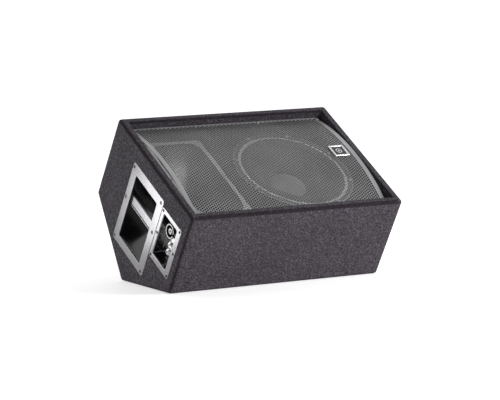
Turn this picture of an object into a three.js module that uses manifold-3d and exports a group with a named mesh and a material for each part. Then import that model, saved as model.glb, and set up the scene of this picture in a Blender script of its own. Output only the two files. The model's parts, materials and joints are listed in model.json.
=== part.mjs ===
// Stage monitor wedge: a carpeted two-way floor loudspeaker whose speaker face leans back 30 degrees.
// Millimetres, +Z up, origin on the floor under the middle of the cabinet. The speaker face looks
// towards -Y and up, and the handle and the sockets are in the end at -X.
import * as THREE from 'three';
import { mergeVertices } from 'three/addons/utils/BufferGeometryUtils.js';
import Module from 'manifold-3d';

const wasm = await Module();
wasm.setup();

// ---------------------------------------------------------------- driving dimensions
// The cabinet's section is a house shape: a flat speaker face, two square sides, and two slopes that
// meet at a keel. It stands on one slope. All sections are drawn in the face's own frame: y across
// the face, towards its high edge, and z out of the face, which is at z = 0.
const LENGTH = 597; // end to end, over the carpet
const FACE_WIDTH = 408; // low rim to high rim
const SIDE_DEPTH = 223.5; // from the face down a square side
const SLOPE = Math.PI / 6; // of the keel, and so of the face
const KEEL_DEPTH = SIDE_DEPTH + (FACE_WIDTH / 2) * Math.tan(SLOPE);

const GAP = 0.3; // left between pieces that touch
const CARPET = 3; // thickness
const RIM = 21; // carpet, board and carpet again
const EDGE_RADIUS = 11; // of the carpeted edges
const BOARD_OUT = CARPET + GAP; // the boards' outer faces, in from the carpet's surface
const BOARD_IN = RIM - CARPET; // their inner faces
const END_X = LENGTH / 2;
const BAY_X = END_X - BOARD_IN; // half the clear length between the end boards

const BAFFLE_Z = -45; // front of the baffle board
const BAFFLE_THICKNESS = 15;

// The grille is one sheet, arched across the face and screwed to two battens by its flat edges.
const GRILLE_LENGTH = 546;
const GRILLE_SHEET = 1.5;
const GRILLE_EDGE_Z = -20; // outer face of the flat edges
const GRILLE_CREST_Z = 3;
const GRILLE_ARCH_HALF = 171; // half the width of the arched stretch
const GRILLE_HALF = 182.4; // half the width with the flat edges
const GRILLE_SCREW_Y = 177;
const GRILLE_SCREW_X = [-268, -90, 90, 268];

// Carrying handle: a plate with a window, a trough behind it and a grip across it.
const PLATE = { outer: 298.2, back: 295.8 }; // distances from the middle of the cabinet
const HANDLE_PLATE = { y: 4.75, z: -157, width: 164.5, height: 226, radius: 7 };
const HANDLE_WINDOW = { y: 6, z: -159, width: 114, height: 178, radius: 3 };
const TROUGH_DEPTH = 64; // below the plate's outer face
const TROUGH_WALL = 2.5;
const HANDLE_SCREWS = [81, -66].flatMap((y) => [-56, -144, -262].map((z) => ({ y, z })));
const GRIP = { top: -127, bottom: -157, sunk: 6.7, sheet: 2.5, turned: 14 };

// Input plate: one pressing with a sunk dish that holds the sockets.
const INPUT_PLATE = { y: -129, z: -129, width: 100, height: 144, radius: 5 };
const DISH = { y: -125.5, z: -127.5, width: 67, height: 115, radius: 3, depth: 24.7, sheet: 1.5 };
const DISH_FLOOR_X = -(PLATE.outer - DISH.depth);
const SPEAKER_SOCKET = { y: -121, z: -100 };
const PHONE_JACKS = [{ y: -121, z: -142 }, { y: -121, z: -163 }];

// Drivers
const WOOFER = { x: 105, y: 0, frameRadius: 154, cutoutRadius: 141 };
const HORN = {
  x: -166, y: 0, width: 160, height: 300, radius: 10, sheet: 3, throatRadius: 12.7, throatZ: -146,
};
const HF_MAGNET_LENGTH = 30;

const BADGE = { x: 227.5, y: 6, size: 43, border: 5, height: 4 };

// ---------------------------------------------------------------- finishes
const finish = (color, roughness, metalness) =>
  new THREE.MeshStandardMaterial({ color, roughness, metalness });
const carpetFinish = () => finish(0x3d3a3d, 0.98, 0);
const plywood = () => finish(0xb08a5a, 0.8, 0);
const blackPaint = () => finish(0x1a1a1b, 0.85, 0);
const satinSteel = () => finish(0xb9b9bd, 0.4, 0.6);
const darkScrew = () => finish(0x4a4a4d, 0.5, 0.6);
const grilleSteel = () => finish(0x6b6b6d, 0.5, 0.5);
const blackPlastic = () => finish(0x141416, 0.3, 0);
const blackSteel = () => finish(0x1c1c1e, 0.45, 0.5);
const ferrite = () => finish(0x2b2b2d, 0.8, 0.1);
const paperCone = () => finish(0x242427, 0.85, 0);
const copper = () => finish(0xa8622e, 0.35, 0.8);
const rubberBlack = () => finish(0x101011, 0.9, 0);

// ---------------------------------------------------------------- solid helpers
function toManifold(geometry) {
  const bare = geometry.clone();
  bare.deleteAttribute('normal');
  bare.deleteAttribute('uv');
  const welded = mergeVertices(bare, 1e-4);
  return new wasm.Manifold(new wasm.Mesh({
    numProp: 3,
    vertProperties: new Float32Array(welded.attributes.position.array),
    triVerts: new Uint32Array(welded.index.array),
  }));
}

function fromManifold(solid) {
  const mesh = solid.getMesh();
  const geometry = new THREE.BufferGeometry();
  geometry.setAttribute('position', new THREE.BufferAttribute(new Float32Array(mesh.vertProperties), 3));
  geometry.setIndex(new THREE.BufferAttribute(new Uint32Array(mesh.triVerts), 1));
  return geometry;
}

function cut(geometry, tools) {
  return fromManifold(tools.reduce((solid, tool) => solid.subtract(toManifold(tool)), toManifold(geometry)));
}

function keepInside(geometry, limit) {
  return fromManifold(toManifold(geometry).intersect(toManifold(limit)));
}

function join(...pieces) {
  const [first, ...others] = pieces.map(toManifold);
  return fromManifold(others.reduce((solid, piece) => solid.add(piece), first));
}

// A closed outline from [a, b, corner radius] points, each radius an arc. Points run anticlockwise.
function outline(points) {
  const shape = new THREE.Shape();
  points.forEach(([a, b, radius = 0], i) => {
    const corner = new THREE.Vector2(a, b);
    const before = new THREE.Vector2(...points.at(i - 1).slice(0, 2)).sub(corner).normalize();
    const after = new THREE.Vector2(...points[(i + 1) % points.length].slice(0, 2)).sub(corner).normalize();
    const half = Math.acos(before.dot(after)) / 2;
    const start = corner.clone().addScaledVector(before, radius / Math.tan(half));
    if (i === 0) shape.moveTo(start.x, start.y);
    else shape.lineTo(start.x, start.y);
    if (radius > 0) {
      const end = corner.clone().addScaledVector(after, radius / Math.tan(half));
      const centre = before.clone().add(after).normalize().multiplyScalar(radius / Math.sin(half)).add(corner);
      const from = start.sub(centre).angle();
      const to = end.sub(centre).angle();
      shape.absarc(centre.x, centre.y, radius, from, to, before.cross(after) > 0);
    }
  });
  shape.closePath();
  return shape;
}

function rectangle({ y, z, width, height, radius }, grow = 0) {
  const halfWidth = width / 2 + grow;
  const halfHeight = height / 2 + grow;
  const r = Math.max(radius + grow, 0);
  return outline([
    [y - halfWidth, z - halfHeight, r], [y + halfWidth, z - halfHeight, r],
    [y + halfWidth, z + halfHeight, r], [y - halfWidth, z + halfHeight, r],
  ]);
}

// Extrudes an outline drawn in (y, z) along x, and one drawn in (z, x) along y.
const ALONG_X = new THREE.Matrix4().makeBasis(
  new THREE.Vector3(0, 1, 0), new THREE.Vector3(0, 0, 1), new THREE.Vector3(1, 0, 0));
const ALONG_Y = new THREE.Matrix4().makeBasis(
  new THREE.Vector3(0, 0, 1), new THREE.Vector3(1, 0, 0), new THREE.Vector3(0, 1, 0));

function extrudeX(shape, from, to, bevel = 0) {
  const geometry = new THREE.ExtrudeGeometry(shape, {
    depth: to - from - 2 * bevel,
    bevelEnabled: bevel > 0,
    bevelThickness: bevel,
    bevelSize: bevel,
    bevelOffset: -bevel,
    bevelSegments: 1,
    curveSegments: 2,
  });
  return geometry.applyMatrix4(ALONG_X).translate(from + bevel, 0, 0);
}

function extrudeY(shape, from, to, curveSegments = 2) {
  const geometry = new THREE.ExtrudeGeometry(shape, { depth: to - from, bevelEnabled: false, curveSegments });
  return geometry.applyMatrix4(ALONG_Y).translate(0, from, 0);
}

function extrudeZ(shape, from, to, curveSegments = 2) {
  const geometry = new THREE.ExtrudeGeometry(shape, { depth: to - from, bevelEnabled: false, curveSegments });
  return geometry.translate(0, 0, from);
}

// A box from its lowest to its highest corner.
function box([x0, y0, z0], [x1, y1, z1]) {
  return new THREE.BoxGeometry(x1 - x0, y1 - y0, z1 - z0)
    .translate((x0 + x1) / 2, (y0 + y1) / 2, (z0 + z1) / 2);
}

// Turned pieces: [radius, height] points, from the axis to the axis, or a ring that closes on itself.
function turned(points, segments = 28) {
  const ring = points[0][0] > 0;
  const profile = (ring ? [...points, points[0]] : points).map(([r, h]) => new THREE.Vector2(r, h));
  return new THREE.LatheGeometry(profile, segments);
}

// The same turned shape with its axis along z, and with its heights as z.
const turnedZ = (points, segments) => turned(points, segments).rotateX(Math.PI / 2);

const wedge = new THREE.Group();

function add(name, geometry, material, position = [0, 0, 0], rotation = [0, 0, 0]) {
  const mesh = new THREE.Mesh(geometry, material);
  mesh.name = name;
  mesh.position.set(...position);
  mesh.rotation.set(...rotation);
  wedge.add(mesh);
  return mesh;
}

// ---------------------------------------------------------------- cabinet
// The corners of the house section, moved in by a distance from every side.
function corners(inset) {
  const side = FACE_WIDTH / 2 - inset;
  const eaves = -SIDE_DEPTH + inset * (1 / Math.cos(SLOPE) - Math.tan(SLOPE));
  return {
    rimFront: [-side, -inset],
    eavesFront: [-side, eaves],
    keel: [0, -KEEL_DEPTH + inset / Math.cos(SLOPE)],
    eavesBack: [side, eaves],
    rimBack: [side, -inset],
  };
}

function house(inset, radius) {
  const c = corners(inset);
  return outline([c.rimFront, c.eavesFront, c.keel, c.eavesBack, c.rimBack].map((p) => [...p, radius]));
}

const outer = corners(BOARD_OUT);
const inner = corners(BOARD_IN);

// One long board between two corners, with its mitred ends held back a little and its outer corners
// rounded over.
function longBoard(name, from, to, innerFrom = inner[from], innerTo = inner[to]) {
  const run = new THREE.Vector2(outer[to][0] - outer[from][0], outer[to][1] - outer[from][1]).normalize();
  const shift = ([a, b], sign) => [a + sign * GAP * run.x, b + sign * GAP * run.y];
  const section = outline([
    shift(outer[from], 1), shift(outer[to], -1), shift(innerTo, -1), shift(innerFrom, 1),
  ]);
  const board = extrudeX(section, -BAY_X + GAP, BAY_X - GAP);
  add(name, keepInside(board, extrudeX(house(BOARD_OUT, EDGE_RADIUS - CARPET), -END_X, END_X)), plywood());
}

longBoard('front_panel', 'rimFront', 'eavesFront', [inner.rimFront[0], outer.rimFront[1]]);
longBoard('floor_panel', 'eavesFront', 'keel');
longBoard('lower_back_panel', 'keel', 'eavesBack');
longBoard('upper_back_panel', 'eavesBack', 'rimBack', inner.eavesBack, [inner.rimBack[0], outer.rimBack[1]]);

const endBoard = (from, to) => extrudeX(house(BOARD_OUT, EDGE_RADIUS - CARPET), from, to, 3);
const throughLeftEnd = (shape) => extrudeX(shape, -END_X - 5, -BAY_X + 5);

// Countersunk wood screw, its head level with the plate, and the pocket that it sits in.
const HANDLE_SCREW_PROFILE = [[0, -15], [2, -12.5], [2, -2.5], [4.3, -0.2], [4.3, 0.1], [0, 0.1]];
const HANDLE_SCREW_POCKET = [[0, -15.6], [2.4, -12.7], [2.4, -2.6], [4.7, -0.3], [4.7, 1], [0, 1]];
const SCREW_SIDES = 8;
const FACING_OUT_LEFT = [0, 0, Math.PI / 2];

const handlePockets = HANDLE_SCREWS.map(({ y, z }) =>
  turned(HANDLE_SCREW_POCKET, SCREW_SIDES).rotateZ(Math.PI / 2).translate(-PLATE.outer, y, z));

add('right_end_panel', endBoard(BAY_X, END_X - BOARD_OUT), plywood());
add('left_end_panel', cut(endBoard(-END_X + BOARD_OUT, -BAY_X), [
  throughLeftEnd(rectangle(HANDLE_WINDOW, 4.5)),
  throughLeftEnd(rectangle(DISH, 4)),
  ...handlePockets,
]), plywood());

function hornRectangle(width, height, radius) {
  const [x0, x1] = [HORN.x - width / 2, HORN.x + width / 2];
  const [y0, y1] = [HORN.y - height / 2, HORN.y + height / 2];
  return [[x0, y0, radius], [x1, y0, radius], [x1, y1, radius], [x0, y1, radius]];
}

const HORN_SEAT = 8; // the flange's overlap on the baffle, all round
const BAFFLE_BACK_Z = BAFFLE_Z - BAFFLE_THICKNESS;
const baffleHalf = FACE_WIDTH / 2 - BOARD_IN - GAP;
const hornCutout = outline(
  hornRectangle(HORN.width - 2 * HORN_SEAT, HORN.height - 2 * HORN_SEAT, HORN.radius));
add('baffle_board', cut(
  box([-BAY_X + GAP, -baffleHalf, BAFFLE_BACK_Z], [BAY_X - GAP, baffleHalf, BAFFLE_Z]), [
    new THREE.CylinderGeometry(WOOFER.cutoutRadius, WOOFER.cutoutRadius, 60, 40)
      .rotateX(Math.PI / 2).translate(WOOFER.x, WOOFER.y, BAFFLE_Z),
    extrudeZ(hornCutout, BAFFLE_BACK_Z - 5, BAFFLE_Z + 5),
  ]), blackPaint());

// ---------------------------------------------------------------- grille, its battens and screws
const BATTEN_WIDTH = 20.5;
const GRILLE_SCREW_PROFILE = [[0, -18], [1.8, -15], [1.8, 0.3], [4, 0.3], [4, 1.6], [2.6, 2.4], [0, 2.6]];
const GRILLE_SCREW_POCKET = [[0, -18.6], [2.2, -15.4], [2.2, 2], [0, 2]];

const grillePockets = (y) => GRILLE_SCREW_X.map((x) =>
  turnedZ(GRILLE_SCREW_POCKET, SCREW_SIDES).translate(x, y, GRILLE_EDGE_Z));

for (const [place, side] of [['top', 1], ['bottom', -1]]) {
  const y = [side * (baffleHalf - BATTEN_WIDTH), side * baffleHalf].sort((a, b) => a - b);
  const batten = box([-BAY_X + 2 * CARPET, y[0], BAFFLE_Z + GAP],
    [BAY_X - 2 * CARPET, y[1], GRILLE_EDGE_Z - GRILLE_SHEET - GAP]);
  add(`grille_batten_${place}`, cut(batten, grillePockets(side * GRILLE_SCREW_Y)), blackPaint());
  GRILLE_SCREW_X.forEach((x, i) => {
    add(`grille_screw_${place}_${i + 1}`, turned(GRILLE_SCREW_PROFILE, SCREW_SIDES), darkScrew(),
      [x, side * GRILLE_SCREW_Y, GRILLE_EDGE_Z], [Math.PI / 2, 0, 0]);
  });
}

// The sheet's section: flat edge, arch, flat edge, and back along the underside.
const GRILLE_RISE = GRILLE_CREST_Z - GRILLE_EDGE_Z;
const GRILLE_RADIUS = (GRILLE_ARCH_HALF ** 2 + GRILLE_RISE ** 2) / (2 * GRILLE_RISE);
const ARCH_HALF_ANGLE = Math.asin(GRILLE_ARCH_HALF / GRILLE_RADIUS);
const ARCH_CENTRE_Z = GRILLE_CREST_Z - GRILLE_RADIUS;
const grilleSection = new THREE.Shape();
grilleSection.moveTo(GRILLE_HALF, GRILLE_EDGE_Z);
grilleSection.lineTo(GRILLE_ARCH_HALF, GRILLE_EDGE_Z);
grilleSection.absarc(0, ARCH_CENTRE_Z, GRILLE_RADIUS,
  Math.PI / 2 - ARCH_HALF_ANGLE, Math.PI / 2 + ARCH_HALF_ANGLE, false);
grilleSection.lineTo(-GRILLE_HALF, GRILLE_EDGE_Z);
grilleSection.lineTo(-GRILLE_HALF, GRILLE_EDGE_Z - GRILLE_SHEET);
grilleSection.lineTo(-GRILLE_ARCH_HALF, GRILLE_EDGE_Z - GRILLE_SHEET);
grilleSection.absarc(0, ARCH_CENTRE_Z - GRILLE_SHEET, GRILLE_RADIUS,
  Math.PI / 2 + ARCH_HALF_ANGLE, Math.PI / 2 - ARCH_HALF_ANGLE, true);
grilleSection.lineTo(GRILLE_HALF, GRILLE_EDGE_Z - GRILLE_SHEET);
grilleSection.closePath();
const grilleSheet = new THREE.ExtrudeGeometry(grilleSection,
  { depth: GRILLE_LENGTH, bevelEnabled: false, curveSegments: 12 })
  .applyMatrix4(ALONG_X).translate(-GRILLE_LENGTH / 2, 0, 0);
add('grille', cut(grilleSheet, [...grillePockets(GRILLE_SCREW_Y), ...grillePockets(-GRILLE_SCREW_Y)]),
  grilleSteel());

// Badge: a square frame with an insert, flat on the crest of the arch.
const BADGE_SEAT_Z = GRILLE_CREST_Z + 2 * GAP;
const badgeRectangle = (size, radius) =>
  rectangle({ y: BADGE.x, z: BADGE.y, width: size, height: size, radius });
const badgeInner = BADGE.size - 2 * BADGE.border;
add('badge_frame', cut(
  extrudeZ(badgeRectangle(BADGE.size, 2), BADGE_SEAT_Z, BADGE_SEAT_Z + BADGE.height),
  [extrudeZ(badgeRectangle(badgeInner, 1), BADGE_SEAT_Z - 1, BADGE_SEAT_Z + BADGE.height + 1)]), satinSteel());
add('badge_insert', extrudeZ(badgeRectangle(badgeInner - 2 * GAP, 1), BADGE_SEAT_Z, BADGE_SEAT_Z + 2.4),
  blackPlastic());

// ---------------------------------------------------------------- carpet
// One length wraps the four long boards and turns over both rims down to the grille.
const rimInner = FACE_WIDTH / 2 - RIM;
const skinOuter = corners(0);
const skinInner = corners(CARPET);
const wrapSection = outline([
  [...skinOuter.rimFront, EDGE_RADIUS],
  [...skinOuter.eavesFront, EDGE_RADIUS],
  [...skinOuter.keel, EDGE_RADIUS],
  [...skinOuter.eavesBack, EDGE_RADIUS],
  [...skinOuter.rimBack, EDGE_RADIUS],
  [rimInner, 0],
  [rimInner, -CARPET],
  [...skinInner.rimBack, EDGE_RADIUS - CARPET],
  [...skinInner.eavesBack, EDGE_RADIUS - CARPET],
  [...skinInner.keel, EDGE_RADIUS - CARPET],
  [...skinInner.eavesFront, EDGE_RADIUS - CARPET],
  [...skinInner.rimFront, EDGE_RADIUS - CARPET],
  [-rimInner, -CARPET],
  [-rimInner, 0],
]);
const wrapEndX = END_X - CARPET - GAP;
const turnInEndX = BAY_X - CARPET - GAP;
const turnIn = (side) => {
  const y = [side * rimInner, side * (rimInner + CARPET - GAP)].sort((a, b) => a - b);
  return box([-turnInEndX, y[0], GRILLE_EDGE_Z], [turnInEndX, y[1], 0]);
};
add('carpet_wrap', join(extrudeX(wrapSection, -wrapEndX, wrapEndX), turnIn(1), turnIn(-1)), carpetFinish());

// Each end piece covers its board and turns over the rim down to the baffle.
function endCarpet(side) {
  const ordered = (a, b) => [side * a, side * b].sort((p, q) => p - q);
  const plate = ordered(END_X - CARPET, END_X);
  const cap = ordered(BAY_X - CARPET, END_X - CARPET / 2);
  const flap = ordered(BAY_X - CARPET, BAY_X - GAP);
  const half = rimInner - GAP;
  return join(
    extrudeX(house(0, EDGE_RADIUS), plate[0], plate[1], 1),
    box([cap[0], -half, -CARPET], [cap[1], half, 0]),
    box([flap[0], -half, BAFFLE_Z + GAP], [flap[1], half, 0]));
}
add('carpet_right_end', endCarpet(1), carpetFinish());
// The plates nearly touch, so the sliver of carpet between them goes too.
const throughLeftCarpet = (shape) => extrudeX(shape, -END_X - 5, -END_X + CARPET + 2);
const PLATE_SEAM_Y = (HANDLE_PLATE.y - HANDLE_PLATE.width / 2 + INPUT_PLATE.y + INPUT_PLATE.width / 2) / 2;
const plateSeam = { y: PLATE_SEAM_Y, z: INPUT_PLATE.z, width: 5, height: INPUT_PLATE.height, radius: 0 };
add('carpet_left_end', cut(endCarpet(-1), [
  throughLeftCarpet(rectangle(HANDLE_PLATE, GAP)),
  throughLeftCarpet(rectangle(INPUT_PLATE, GAP)),
  throughLeftCarpet(rectangle(plateSeam)),
]), carpetFinish());

// ---------------------------------------------------------------- carrying handle
const throughPlate = (shape) => extrudeX(shape, -PLATE.outer - 5, -PLATE.back + 5);
add('handle_plate', cut(extrudeX(rectangle(HANDLE_PLATE), -PLATE.outer, -PLATE.back),
  [throughPlate(rectangle(HANDLE_WINDOW)), ...handlePockets]), satinSteel());

// The trough is part of a cylinder lying across the handle, between two flat cheeks.
const TROUGH_MOUTH_X = -PLATE.back + GAP;
const TROUGH_HALF = HANDLE_WINDOW.height / 2;
const TROUGH_RADIUS = (TROUGH_HALF ** 2 + TROUGH_DEPTH ** 2) / (2 * TROUGH_DEPTH);
const TROUGH_CENTRE_X = -PLATE.outer + TROUGH_DEPTH - TROUGH_RADIUS;
function troughSection(radius, mouthX) {
  const half = Math.acos((mouthX - TROUGH_CENTRE_X) / radius);
  const shape = new THREE.Shape();
  shape.absarc(HANDLE_WINDOW.z, TROUGH_CENTRE_X, radius, Math.PI / 2 - half, Math.PI / 2 + half, false);
  shape.closePath();
  return shape;
}
const windowLow = HANDLE_WINDOW.y - HANDLE_WINDOW.width / 2;
const windowHigh = HANDLE_WINDOW.y + HANDLE_WINDOW.width / 2;
add('handle_trough', cut(
  extrudeY(troughSection(TROUGH_RADIUS + TROUGH_WALL, TROUGH_MOUTH_X),
    windowLow - TROUGH_WALL, windowHigh + TROUGH_WALL, 10),
  [extrudeY(troughSection(TROUGH_RADIUS, TROUGH_MOUTH_X - 5), windowLow, windowHigh, 10)]), blackPlastic());

// The grip is a steel channel, its edges turned in so that they don't cut the hand.
const gripFace = -PLATE.outer + GRIP.sunk;
const gripSection = outline([
  [GRIP.bottom, gripFace, 4], [GRIP.top, gripFace, 4],
  [GRIP.top, gripFace + GRIP.turned], [GRIP.top - GRIP.sheet, gripFace + GRIP.turned],
  [GRIP.top - GRIP.sheet, gripFace + GRIP.sheet, 1.5], [GRIP.bottom + GRIP.sheet, gripFace + GRIP.sheet, 1.5],
  [GRIP.bottom + GRIP.sheet, gripFace + GRIP.turned], [GRIP.bottom, gripFace + GRIP.turned],
]);
add('handle_grip', extrudeY(gripSection, windowLow + GAP, windowHigh - GAP), satinSteel());

HANDLE_SCREWS.forEach(({ y, z }, i) => {
  add(`handle_screw_${i + 1}`, turned(HANDLE_SCREW_PROFILE, SCREW_SIDES), darkScrew(),
    [-PLATE.outer, y, z], FACING_OUT_LEFT);
});

// ---------------------------------------------------------------- input plate and sockets
const SOCKET_BARREL_RADIUS = 13;
const JACK_SLEEVE_RADIUS = 4.6;
const dishOuter = extrudeX(rectangle(DISH, DISH.sheet), -PLATE.back - 1, DISH_FLOOR_X + DISH.sheet);
const dishInner = extrudeX(rectangle(DISH), -PLATE.outer - 5, DISH_FLOOR_X);
const floorHole = ({ y, z }, radius) => new THREE.CylinderGeometry(radius, radius, 12, 20)
  .rotateZ(Math.PI / 2).translate(DISH_FLOOR_X, y, z);
add('input_plate', cut(join(extrudeX(rectangle(INPUT_PLATE), -PLATE.outer, -PLATE.back), dishOuter), [
  dishInner,
  floorHole(SPEAKER_SOCKET, SOCKET_BARREL_RADIUS + GAP),
  ...PHONE_JACKS.map((jack) => floorHole(jack, JACK_SLEEVE_RADIUS + GAP)),
]), satinSteel());

// Twist-lock speaker socket: a collar and a core with the plug's ring-shaped space between them.
const SOCKET_PROFILE = [
  [0, -16], [SOCKET_BARREL_RADIUS, -16], [SOCKET_BARREL_RADIUS, GAP + 0.2], [18, GAP + 0.2], [18, 16],
  [15, 16], [15, 3.5], [7.5, 3.5], [7.5, 14.5], [0, 14.5],
];
const socketFlange = cut(
  new THREE.BoxGeometry(38, 2.5, 38).translate(0, GAP + 1.25, 0),
  [new THREE.CylinderGeometry(16, 16, 10, 24)]);
add('speaker_socket', join(turned(SOCKET_PROFILE, 24), socketFlange), blackPlastic(),
  [DISH_FLOOR_X, SPEAKER_SOCKET.y, SPEAKER_SOCKET.z], FACING_OUT_LEFT);

const JACK_PROFILE = [
  [0, -20], [6.5, -20], [6.5, -1.8], [JACK_SLEEVE_RADIUS, -1.8], [JACK_SLEEVE_RADIUS, GAP],
  [7, GAP], [7, 3.8], [5.2, 3.8], [5.2, 6], [3.3, 6], [3.3, -17], [0, -17],
];
PHONE_JACKS.forEach(({ y, z }, i) => {
  add(`phone_jack_${i + 1}`, turned(JACK_PROFILE, 12), satinSteel(), [DISH_FLOOR_X, y, z], FACING_OUT_LEFT);
});

// ---------------------------------------------------------------- woofer, turned about its own axis
// Heights are z in the face's frame, so every piece shares the face's datum.
const wooferPiece = (name, points, material, segments) =>
  add(name, turnedZ(points, segments), material, [WOOFER.x, WOOFER.y, 0]);

const ROUND = 36; // sides of the large rings
const FRAME_TOP = BAFFLE_Z + GAP + 2.2;
const FRAME_UNDER = BAFFLE_Z + GAP;
const LEDGE_Z = -119.3; // where the spider is glued
const SEAT_Z = -136.7; // underside of the frame, against the top plate
const basketShell = turnedZ([
  [WOOFER.frameRadius, FRAME_UNDER], [WOOFER.frameRadius, FRAME_TOP], [131, FRAME_TOP], [128, -61.5],
  [80.3, -110], [80.3, LEDGE_Z], [65.5, LEDGE_Z], [65.5, SEAT_Z + 2.2], [34.8, SEAT_Z + 2.2],
  [34.8, SEAT_Z], [67.7, SEAT_Z], [67.7, LEDGE_Z - 2.2], [82.5, LEDGE_Z - 2.2], [82.5, -111],
  [130.5, -62], [138.5, FRAME_UNDER],
], ROUND);
const BASKET_LEGS = 6;
const BASKET_WINDOW = { depth: 70, width: 62, height: 38, reach: 105, z: -86 };
const basketWindows = Array.from({ length: BASKET_LEGS }, (_, i) =>
  new THREE.BoxGeometry(BASKET_WINDOW.depth, BASKET_WINDOW.width, BASKET_WINDOW.height)
    .translate(BASKET_WINDOW.reach, 0, BASKET_WINDOW.z).rotateZ((i / BASKET_LEGS) * 2 * Math.PI));
add('woofer_basket', cut(basketShell, basketWindows), blackSteel(), [WOOFER.x, WOOFER.y, 0]);

const RING_Z = FRAME_TOP + GAP;
wooferPiece('woofer_gasket', [[WOOFER.frameRadius - 1, RING_Z], [WOOFER.frameRadius - 1, RING_Z + 3.5],
  [141.2, RING_Z + 3.5], [141.2, RING_Z]], rubberBlack(), ROUND);

// The surround is a half roll whose inner lip lies on the cone's edge, lower than its outer lip.
const CONE_EDGE_Z = -50.3;
const ROLL = { centre: 121.5, radius: 9.5, crestZ: -33, sheet: 0.9, steps: 6 };
const rollAngle = (i) => (i / ROLL.steps) * Math.PI;
const rollTop = Array.from({ length: ROLL.steps + 1 }, (_, i) => {
  const angle = rollAngle(i);
  const foot = THREE.MathUtils.lerp(RING_Z + ROLL.sheet, CONE_EDGE_Z + GAP + ROLL.sheet, i / ROLL.steps);
  return [ROLL.centre + ROLL.radius * Math.cos(angle), foot + (ROLL.crestZ - foot) * Math.sin(angle)];
});
const rollUnder = rollTop.map(([r, z], i) => [r - ROLL.sheet * Math.cos(rollAngle(i)), z - ROLL.sheet]);
wooferPiece('woofer_surround', [
  [140.6, RING_Z], [140.6, RING_Z + ROLL.sheet], ...rollTop, [106, CONE_EDGE_Z + GAP + ROLL.sheet],
  [106, CONE_EDGE_Z + GAP], ...rollUnder.reverse(),
], rubberBlack(), ROUND);

const CONE = { sheet: 1.4, edgeRadius: 110.5, neckRadius: 33.4, neckZ: -96, flare: 0.82 };
const coneLine = Array.from({ length: 5 }, (_, i) => {
  const t = i / 4;
  return [
    THREE.MathUtils.lerp(CONE.edgeRadius, CONE.neckRadius, t),
    THREE.MathUtils.lerp(CONE_EDGE_Z, CONE.neckZ, t ** CONE.flare),
  ];
});
wooferPiece('woofer_cone', [
  ...coneLine.map(([r, z]) => [r, z - CONE.sheet]).reverse(), ...coneLine,
], paperCone(), ROUND);

const DUST_CAP = { radius: 46, rise: 15, sheet: 0.9 };
const coneHeightAt = (r) => THREE.MathUtils.lerp(CONE_EDGE_Z, CONE.neckZ,
  ((CONE.edgeRadius - r) / (CONE.edgeRadius - CONE.neckRadius)) ** CONE.flare);
const capBase = coneHeightAt(DUST_CAP.radius) + 1.2;
const capPoints = (radius, rise) => Array.from({ length: 5 }, (_, i) => {
  const angle = (i / 4) * (Math.PI / 2);
  return [i === 4 ? 0 : radius * Math.cos(angle), capBase + rise * Math.sin(angle)];
});
wooferPiece('woofer_dust_cap', [
  ...capPoints(DUST_CAP.radius - DUST_CAP.sheet, DUST_CAP.rise - DUST_CAP.sheet).reverse(),
  ...capPoints(DUST_CAP.radius, DUST_CAP.rise),
], paperCone());

// Coil former with its winding, which hangs in the ring-shaped gap of the magnet.
const COIL = { inner: 32, former: 32.6, winding: 33.5, top: -97.9, windingTop: -132, bottom: -150 };
wooferPiece('woofer_voice_coil', [
  [COIL.inner, COIL.bottom], [COIL.winding, COIL.bottom], [COIL.winding, COIL.windingTop],
  [COIL.former, COIL.windingTop], [COIL.former, COIL.top], [COIL.inner, COIL.top],
], copper());

// The spider is a corrugated disc from the ledge to the coil former.
const SPIDER = { outer: 79.6, inner: 33.3, sheet: 0.8, folds: 9, depth: 2.4 };
const spiderLine = Array.from({ length: SPIDER.folds + 1 }, (_, i) => {
  const t = i / SPIDER.folds;
  const fold = (i % 2 ? 1 : -1) * SPIDER.depth;
  return [THREE.MathUtils.lerp(SPIDER.outer - 12, SPIDER.inner, t), LEDGE_Z + 3.4 + fold];
});
wooferPiece('woofer_spider', [
  ...spiderLine.map(([r, z]) => [r, z - SPIDER.sheet]).reverse(),
  [SPIDER.outer, LEDGE_Z + GAP], [SPIDER.outer, LEDGE_Z + GAP + SPIDER.sheet], ...spiderLine,
], finish(0xc09a4a, 0.9, 0));

const TOP_PLATE_Z = SEAT_Z - GAP;
const MAGNET_Z = TOP_PLATE_Z - 8 - GAP;
const YOKE_Z = MAGNET_Z - 20 - GAP;
wooferPiece('woofer_top_plate', [[34.4, TOP_PLATE_Z - 8], [65, TOP_PLATE_Z - 8], [65, TOP_PLATE_Z],
  [34.4, TOP_PLATE_Z]], blackSteel());
wooferPiece('woofer_magnet', [[44, MAGNET_Z - 20], [78, MAGNET_Z - 20], [78, MAGNET_Z], [44, MAGNET_Z]],
  ferrite());
wooferPiece('woofer_yoke', [[0, YOKE_Z - 8], [70, YOKE_Z - 8], [70, YOKE_Z], [31, YOKE_Z],
  [31, TOP_PLATE_Z], [0, TOP_PLATE_Z]], blackSteel());

// ---------------------------------------------------------------- horn and its driver
// Skins a closed loop of rings, each a list of as many points, into one ring-shaped solid.
function skinRings(rings) {
  const count = rings[0].length;
  const index = [];
  rings.forEach((_, r) => {
    const next = (r + 1) % rings.length;
    for (let i = 0; i < count; i += 1) {
      const j = (i + 1) % count;
      const [a, b, c, d] = [r * count + i, r * count + j, next * count + i, next * count + j];
      index.push(a, c, b, b, c, d);
    }
  });
  const geometry = new THREE.BufferGeometry();
  geometry.setAttribute('position', new THREE.Float32BufferAttribute(rings.flat(2), 3));
  geometry.setIndex(index);
  return geometry;
}

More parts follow.
